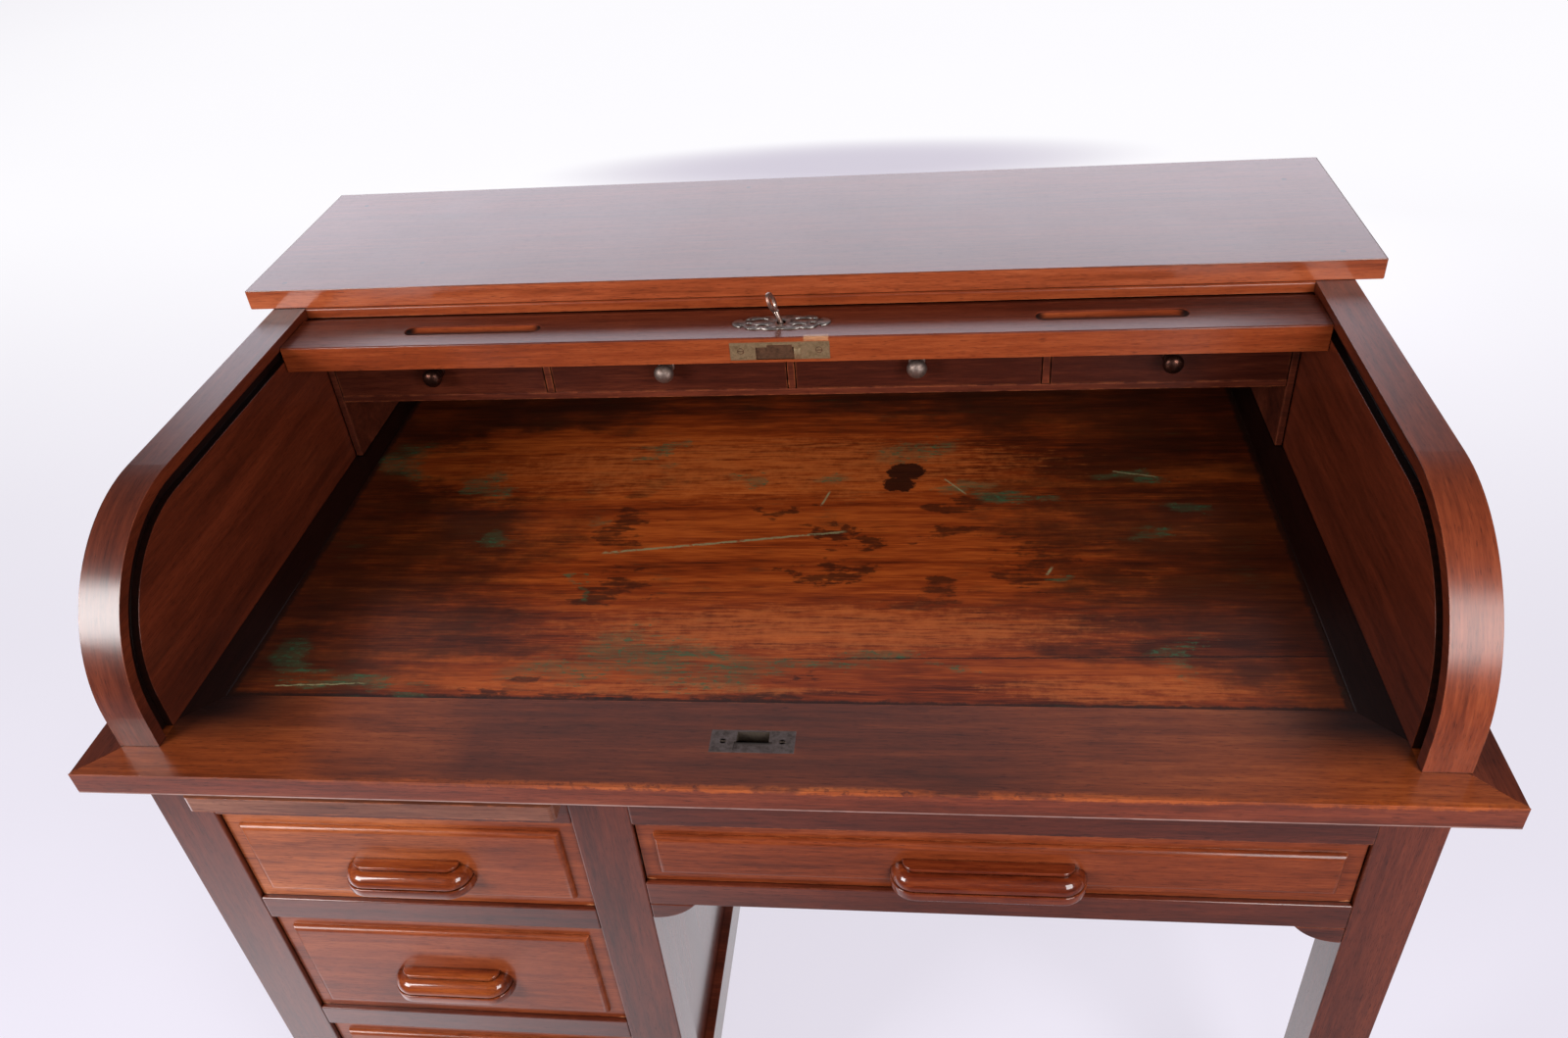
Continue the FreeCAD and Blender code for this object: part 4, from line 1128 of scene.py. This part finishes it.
# %% Key
KEY_LEAN = math.radians(19)
KEY_TURN = math.radians(80)
SHANK_RADIUS = 0.0024
SHANK_RISE = 0.016
SHANK_SUNK = 0.008
COLLAR = 0.002
COLLAR_SHARES = 1.5, 1.3
BOW_LENGTH = 0.022
BOW_WIDTH = 0.016
BOW_BAR = 0.0034
BOW_STEPS = 28
TURNED_STEPS = 20
KEY_RIM = 0.0006


def turned(mesh, radii, depth, level):
    """A bar, disc or cone about the upright axis, given its lower and upper radius and its middle's level."""
    made = bmesh.ops.create_cone(mesh, cap_ends=True, segments=TURNED_STEPS, radius1=radii[0],
                                 radius2=radii[1], depth=depth)["verts"]
    bmesh.ops.translate(mesh, vec=(0, 0, level), verts=made)
    return made


def make_bow(mesh):
    """The key's oval ring, standing on the shank."""
    hole_size = Vector((BOW_WIDTH / 2 - BOW_BAR, 1.0, BOW_LENGTH / 2 - BOW_BAR))
    growth = (BOW_WIDTH / (BOW_WIDTH - 2 * BOW_BAR), 1.0, BOW_LENGTH / (BOW_LENGTH - 2 * BOW_BAR))
    hole = bmesh.ops.create_circle(mesh, cap_ends=False, radius=1.0, segments=BOW_STEPS)["verts"]
    bmesh.ops.rotate(mesh, verts=hole, cent=(0, 0, 0), matrix=Matrix.Rotation(math.pi / 2, 3, "X"))
    bmesh.ops.scale(mesh, verts=hole, vec=hole_size)
    hole_edges = [edge for edge in mesh.edges if edge.verts[0] in hole]
    band = bmesh.ops.extrude_edge_only(mesh, edges=hole_edges)["geom"]
    outer = only(band, bmesh.types.BMVert)
    bmesh.ops.scale(mesh, verts=outer, vec=growth)
    thick = bmesh.ops.solidify(mesh, geom=only(band, bmesh.types.BMFace), thickness=BOW_BAR)["geom"]
    bow = set(hole + outer + only(thick, bmesh.types.BMVert))
    bmesh.ops.translate(mesh, vec=(0, BOW_BAR / 2, SHANK_RISE + BOW_LENGTH / 2 - COLLAR), verts=list(bow))


def make_key():
    foot = Vector((0.0, (lead_low.y + lead_high.y) / 2, lead_high.z))
    mesh = bmesh.new()
    turned(mesh, (SHANK_RADIUS, SHANK_RADIUS), SHANK_RISE + SHANK_SUNK, (SHANK_RISE - SHANK_SUNK) / 2)
    turned(mesh, [SHANK_RADIUS * share for share in COLLAR_SHARES], COLLAR, SHANK_RISE - COLLAR)
    make_bow(mesh)
    bmesh.ops.recalc_face_normals(mesh, faces=mesh.faces)
    round_edges(mesh, sharp_edges(mesh, 1.0), KEY_RIM)
    bmesh.ops.rotate(mesh, verts=mesh.verts, cent=(0, 0, 0), matrix=Matrix.Rotation(KEY_TURN, 3, "Z"))
    bmesh.ops.rotate(mesh, verts=mesh.verts, cent=(0, 0, 0), matrix=Matrix.Rotation(-KEY_LEAN, 3, "Y"))
    bmesh.ops.translate(mesh, vec=foot, verts=mesh.verts)
    smooth(mesh)
    return new_piece("old_key", mesh, "key", "key", [key_steel])


make_key()

# %% [markdown]
# The lock shows as a brass plate let into the rail's front edge, and its partner is a grey plate in the bed.
# In both, a hollow is a face that is cut free by bisecting lines and then pushed in. The plates, their hollows
# and their screws need the same few helpers.

# %% Helpers for the plates
FORWARD = Vector((0, -1, 0))
UP = Vector((0, 0, 1))
METAL_THICKNESS = 0.0022
SCREW_INSET = 0.011
SCREW_RADIUS = 0.0030
SCREW_RING = 0.0038
SCREW_TAPER = 0.9
SCREW_SLOT = 0.0005
THIN = 0.0002
SLOT_TOP = 2.2 * THIN


def paint(verts, finish):
    """Gives the faces round some vertices one of their piece's finishes."""
    for skin in {skin for vert in verts for skin in vert.link_faces}:
        skin.material_index = finish


def box_piece(mesh, low, high, finish=0):
    """A box between two corners."""
    made = bmesh.ops.create_cube(mesh, size=1.0)["verts"]
    bmesh.ops.scale(mesh, verts=made, vec=[b - a for a, b in zip(low, high)])
    bmesh.ops.translate(mesh, verts=made, vec=[(a + b) / 2 for a, b in zip(low, high)])
    paint(made, finish)
    return made


def cut_across(mesh, cuts):
    """Cuts a mesh along planes, each given by its axis and its place on that axis."""
    for axis, place in cuts:
        way = Vector([float(letter == axis) for letter in "XYZ"])
        whole = mesh.verts[:] + mesh.edges[:] + mesh.faces[:]
        bmesh.ops.bisect_plane(mesh, geom=whole, plane_co=way * place, plane_no=way)


def faces_between(mesh, facing, spans):
    """The faces that look one way and whose middles lie within a span on each of the named axes."""
    def held(skin):
        middle = skin.calc_center_median()
        return all(start < getattr(middle, axis) < end for axis, (start, end) in spans.items())

    return [skin for skin in mesh.faces if skin.normal.dot(facing) > 0.5 and held(skin)]


def sink(mesh, faces, way, finish):
    """Pushes faces in, and gives the new bottom and walls a finish."""
    old = set(mesh.faces)
    sunk = bmesh.ops.extrude_face_region(mesh, geom=faces)["geom"]
    bmesh.ops.translate(mesh, vec=way, verts=only(sunk, bmesh.types.BMVert))
    for skin in set(mesh.faces) - old:
        skin.material_index = finish
    bmesh.ops.delete(mesh, geom=faces, context="FACES")


def screw_head(mesh, place, turn):
    """A dark ring, a head and its slot, made facing up, turned and set in its place."""
    made = []
    for radius, rise, finish in ((SCREW_RING, 0.0, 1), (SCREW_RADIUS, THIN, 0)):
        disc = turned(mesh, (radius, radius * SCREW_TAPER), 2 * THIN, rise)
        paint(disc, finish)
        made += disc
    made += box_piece(mesh, (-SCREW_RADIUS, -SCREW_SLOT, 0.0), (SCREW_RADIUS, SCREW_SLOT, SLOT_TOP), 1)
    bmesh.ops.rotate(mesh, verts=made, cent=(0, 0, 0), matrix=turn)
    bmesh.ops.translate(mesh, verts=made, vec=place)


bolt_low, bolt_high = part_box("lock_bolt")
print("lock bolt", [round(v, 4) for v in bolt_high - bolt_low])

# %% [markdown]
# The brass plate has two small screws. A worn hollow in its middle lets the bolt out, and a lump of bright
# metal is left at the hollow's right end. The dark case of the lock is a plain box behind it.

# %% Lock plate
HOLLOW_LEFT, HOLLOW_RIGHT = -0.0245, 0.0145
HOLLOW_TOP = 0.0140
HOLLOW_DEPTH = 0.0012
LUMP_WIDTH = 0.0065
LUMP_LOW, LUMP_HIGH = 0.001, 0.012
LOCK_SET_BACK = 0.0004
CASE_HALF = 0.029


def make_lock_plate():
    low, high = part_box("lock_body")
    front = low.y + LOCK_SET_BACK
    back = low.y + METAL_THICKNESS
    top = low.z + HOLLOW_TOP
    mesh = bmesh.new()
    box_piece(mesh, (low.x, front, low.z), (high.x, back, high.z))
    cut_across(mesh, [("X", HOLLOW_LEFT), ("X", HOLLOW_RIGHT), ("Z", top)])
    hollow = faces_between(mesh, FORWARD, {"x": (HOLLOW_LEFT, HOLLOW_RIGHT), "z": (low.z, top)})
    sink(mesh, hollow, (0, HOLLOW_DEPTH, 0), 1)
    lump = box_piece(mesh, (HOLLOW_RIGHT, low.y, low.z + LUMP_LOW),
                     (HOLLOW_RIGHT + LUMP_WIDTH, front + THIN, low.z + LUMP_HIGH))
    rims = [edge for edge in mesh.edges if edge.verts[0] in lump and edge.verts[1] in lump]
    round_edges(mesh, rims, THIN)
    upright = Matrix.Rotation(math.pi / 2, 3, "X")
    for side in (-1, 1):
        screw_head(mesh, (side * (high.x - SCREW_INSET), front, (low.z + high.z) / 2), upright)
    box_piece(mesh, (-CASE_HALF, back, bolt_low.z - METAL_THICKNESS),
              (CASE_HALF, high.y, bolt_high.z + METAL_THICKNESS), 1)
    return new_piece("lock_face", mesh, "lead_rail", "lock_body", [brass, lock_dark])


lock = make_lock_plate()
print("lock plate faces", len(lock.data.polygons))

# %% [markdown]
# The grey plate in the bed has a shallow hollow and, behind it, a slot that the bolt drops into. The plate is
# open under the slot, and the slot's walls go down into the pocket with a darker finish.

# %% Strike plate
STRIKE_HOLLOW = 0.0014
STRIKE_SHARES = -0.44, 0.46
STRIKE_FRONT_SHARE = 0.14
SLOT_SLACK = 0.0010
POCKET_DEPTH = 0.013
SLOT_FROM_BACK = 0.00716


def make_strike_plate():
    low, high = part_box("strike_plate")
    middle = (low + high) / 2
    half_x = (high.x - low.x) / 2
    slot_x = (bolt_high.x - bolt_low.x) / 2 + SLOT_SLACK
    slot_half = (bolt_high.z - bolt_low.z) / 2 + SLOT_SLACK
    slot_y = high.y - SLOT_FROM_BACK
    slot_front, slot_back = slot_y - slot_half, slot_y + slot_half
    hollow_front = low.y + (high.y - low.y) * STRIKE_FRONT_SHARE
    left, right = (half_x * share for share in STRIKE_SHARES)
    mesh = bmesh.new()
    box_piece(mesh, (low.x, low.y, high.z - METAL_THICKNESS), (high.x, high.y, high.z))
    cut_across(mesh, [("X", left), ("X", right), ("X", -slot_x), ("X", slot_x),
                      ("Y", hollow_front), ("Y", slot_front), ("Y", slot_back)])
    slot_span = {"x": (-slot_x, slot_x), "y": (slot_front, slot_back)}
    slot = faces_between(mesh, UP, slot_span)
    bottom = faces_between(mesh, -UP, slot_span)
    hollow = faces_between(mesh, UP, {"x": (left, right), "y": (hollow_front, slot_front)})
    bmesh.ops.delete(mesh, geom=bottom, context="FACES")
    sink(mesh, slot, (0, 0, -POCKET_DEPTH), 1)
    sink(mesh, hollow, (0, 0, -STRIKE_HOLLOW), 0)
    for side in (-1, 1):
        place = (middle.x + side * (half_x - SCREW_INSET), middle.y, high.z - 2 * THIN)
        screw_head(mesh, place, Matrix.Identity(3))
    return new_piece("strike_face", mesh, "desk", "strike_plate", [strike_metal, strike_dark])


strike = make_strike_plate()
print("strike plate faces", len(strike.data.polygons))

# %% [markdown]
# The desk stands on a plain pale floor. More light would bleach the wood, so the floor glows a little by
# itself, and only the camera and the polish see that glow. A soft shade in the glow stands for the one that
# lies on the backdrop behind the shelf.

# %% Floor
FLOOR_HALF = 9.0
FLOOR_TONES = tint(140, 137, 146), tint(148, 145, 153)
FLOOR_STEPS = 0.3, 0.7
SIDE_GLOW = tint(206, 202, 213)
BACK_GLOW = tint(248, 247, 250)
SHADE_GLOW = tint(206, 200, 213)
MIRROR_GLOW = (1.32, 1.29, 1.36, 1.0)
NO_GLOW = tint(0, 0, 0)
GLOW_OUT, GLOW_IN = 12.0, 3.0
GLOW_FRONT, GLOW_BACK = -0.3, 3.0
DESK_SHADE = (-0.15, 3.02, 0.85, 0.20)
MIRROR_RIGHT, MIRROR_LEFT = 0.2, -0.8
MIRROR_FRONT, MIRROR_BACK = -1.05, -0.5
UNDER_FRONT, UNDER_BACK = -0.45, -0.25
UNDER_SHARE = 0.5


def floor_glow(place):
    """What the camera sees of the glow, and what the polish mirrors of it near the desk's front."""
    x, y = place.axis("X"), place.axis("Y")
    glow = (x.size().rise(GLOW_OUT, GLOW_IN) * y.rise(GLOW_FRONT, GLOW_BACK)).blend(SIDE_GLOW, BACK_GLOW)
    glow = soft_spot(x, y, DESK_SHADE).blend(glow, SHADE_GLOW)
    seen = place.node("LightPath", out="Is Camera Ray").blend(NO_GLOW, glow)
    ahead_left = x.rise(MIRROR_RIGHT, MIRROR_LEFT) * y.rise(MIRROR_FRONT, MIRROR_BACK)
    under_desk = y.rise(UNDER_FRONT, UNDER_BACK) * UNDER_SHARE
    mirrored = place.node("LightPath", out="Is Glossy Ray") * ahead_left.most(under_desk)
    return mirrored.blend(seen, MIRROR_GLOW)


def make_floor():
    mesh = bmesh.new()
    bmesh.ops.create_grid(mesh, x_segments=4, y_segments=4, size=FLOOR_HALF)
    data = bpy.data.meshes.new("studio_floor")
    mesh.to_mesh(data)
    mesh.free()
    finish, surface, place = new_finish("pale_floor")
    feed(surface, Base_Color=place.noise(1.2, 2.0).ramp(FLOOR_STEPS, FLOOR_TONES), Roughness=0.8,
         Specular_IOR_Level=0.1, Emission_Color=floor_glow(place), Emission_Strength=1.0)
    data.materials.append(finish)
    floor = bpy.data.objects.new("studio_floor", data)
    bpy.context.scene.collection.objects.link(floor)
    return floor


floor = make_floor()
print("floor", [round(v, 1) for v in floor.dimensions])

# %% [markdown]
# The world is white for the camera, and otherwise only a weak fill, so that the lamps make the light and the
# shadows.

# %% World
SKY = (0.97, 0.96, 1.0, 1.0)
FILL = 0.10
world = bpy.data.worlds.new("studio")
bpy.context.scene.world = world
world.use_nodes = True
air = Shade(world.node_tree)
fill = air.node("Background", None, {"Color": SKY, "Strength": FILL})
backdrop = air.node("Background", None, {"Color": SKY, "Strength": 1.0})
sky = air.node("MixShader", None, {0: air.node("LightPath", out="Is Camera Ray"), 1: fill, 2: backdrop})
plug(sky, world.node_tree.nodes["World Output"].inputs["Surface"])
print("fill light", FILL)

# %% [markdown]
# Two soft boxes in front, one at each side, make the bright streaks on the curved sides, and a weak one
# between them lifts the shadows. Another lights the back. Two wide cards behind the desk give the shelf its
# pale sheen. They are only there to be mirrored, so they don't change the light on the wood.

# %% Soft boxes and cards
CARD_TINT = (0.95, 0.89, 1.0)
LAMP_TINT = (1.0, 1.0, 1.0)


def soft_box(name, place, aim, wide, tall, power, card=False, mirrored=True):
    """A soft lamp; a card is only there to be mirrored in the polish, and a lamp may be left out of it."""
    lamp_data = bpy.data.lights.new(name, "AREA")
    lamp_data.shape = "RECTANGLE"
    lamp_data.size = wide
    lamp_data.size_y = tall
    lamp_data.energy = power
    lamp_data.color = CARD_TINT if card else LAMP_TINT
    lamp = bpy.data.objects.new(name, lamp_data)
    lamp.location = place
    lamp.rotation_euler = (Vector(aim) - Vector(place)).to_track_quat("-Z", "Y").to_euler()
    lamp.visible_camera = False
    lamp.visible_diffuse = not card
    lamp.visible_glossy = mirrored
    bpy.context.scene.collection.objects.link(lamp)


soft_box("left_box", (-1.525, -1.42, 1.54), (-0.95, 0.0, 0.75), wide=0.8, tall=0.9, power=39.0)
soft_box("right_box", (1.207, -1.647, 1.54), (0.8, 0.0, 0.75), wide=0.9, tall=1.1, power=35.0)
soft_box("front_box", (0.1, -2.3, 1.85), (0.0, 0.0, 0.75), wide=0.7, tall=0.5, power=7.0, mirrored=False)
soft_box("rear_box", (0.6, 2.6, 0.85), (0.0, 0.4, 0.5), wide=1.2, tall=0.6, power=12.0)
soft_box("back_card", (-0.58, 3.1, 2.25), (-0.58, 0.0, 2.25), wide=5.05, tall=1.3, power=52.0, card=True)
soft_box("high_card", (-0.58, 3.1, 3.9), (-0.58, 0.0, 3.9), wide=5.05, tall=2.0, power=13.0, card=True)
print("soft boxes and cards", len(bpy.data.lights))

# %% [markdown]
# The camera has the photograph's place, tilt and lens, which were found from the desk's straight edges. Its
# three axes are worked out from the angles, and they are the columns of its matrix.

# %% Camera
EYE = Vector((0.15226, -1.03079, 1.50204))
YAW, PITCH, ROLL = -0.1525, 0.6366, 0.0953
LENS = 27.607
SENSOR = 36.0
ahead = Vector((math.sin(YAW) * math.cos(PITCH), math.cos(YAW) * math.cos(PITCH), -math.sin(PITCH)))
level = Vector((math.cos(YAW), -math.sin(YAW), 0.0))
below_eye = ahead.cross(level)
right = math.cos(ROLL) * level + math.sin(ROLL) * below_eye
down = math.cos(ROLL) * below_eye - math.sin(ROLL) * level
camera_data = bpy.data.cameras.new("camera")
camera_data.lens = LENS
camera_data.sensor_width = SENSOR
camera = bpy.data.objects.new("camera", camera_data)
camera.matrix_world = Matrix.Translation(EYE) @ Matrix((right, -down, -ahead)).transposed().to_4x4()
bpy.context.scene.collection.objects.link(camera)
bpy.context.scene.camera = camera
bpy.context.scene.view_settings.view_transform = "Standard"
print("camera looks down by", round(math.degrees(PITCH), 1), "degrees")
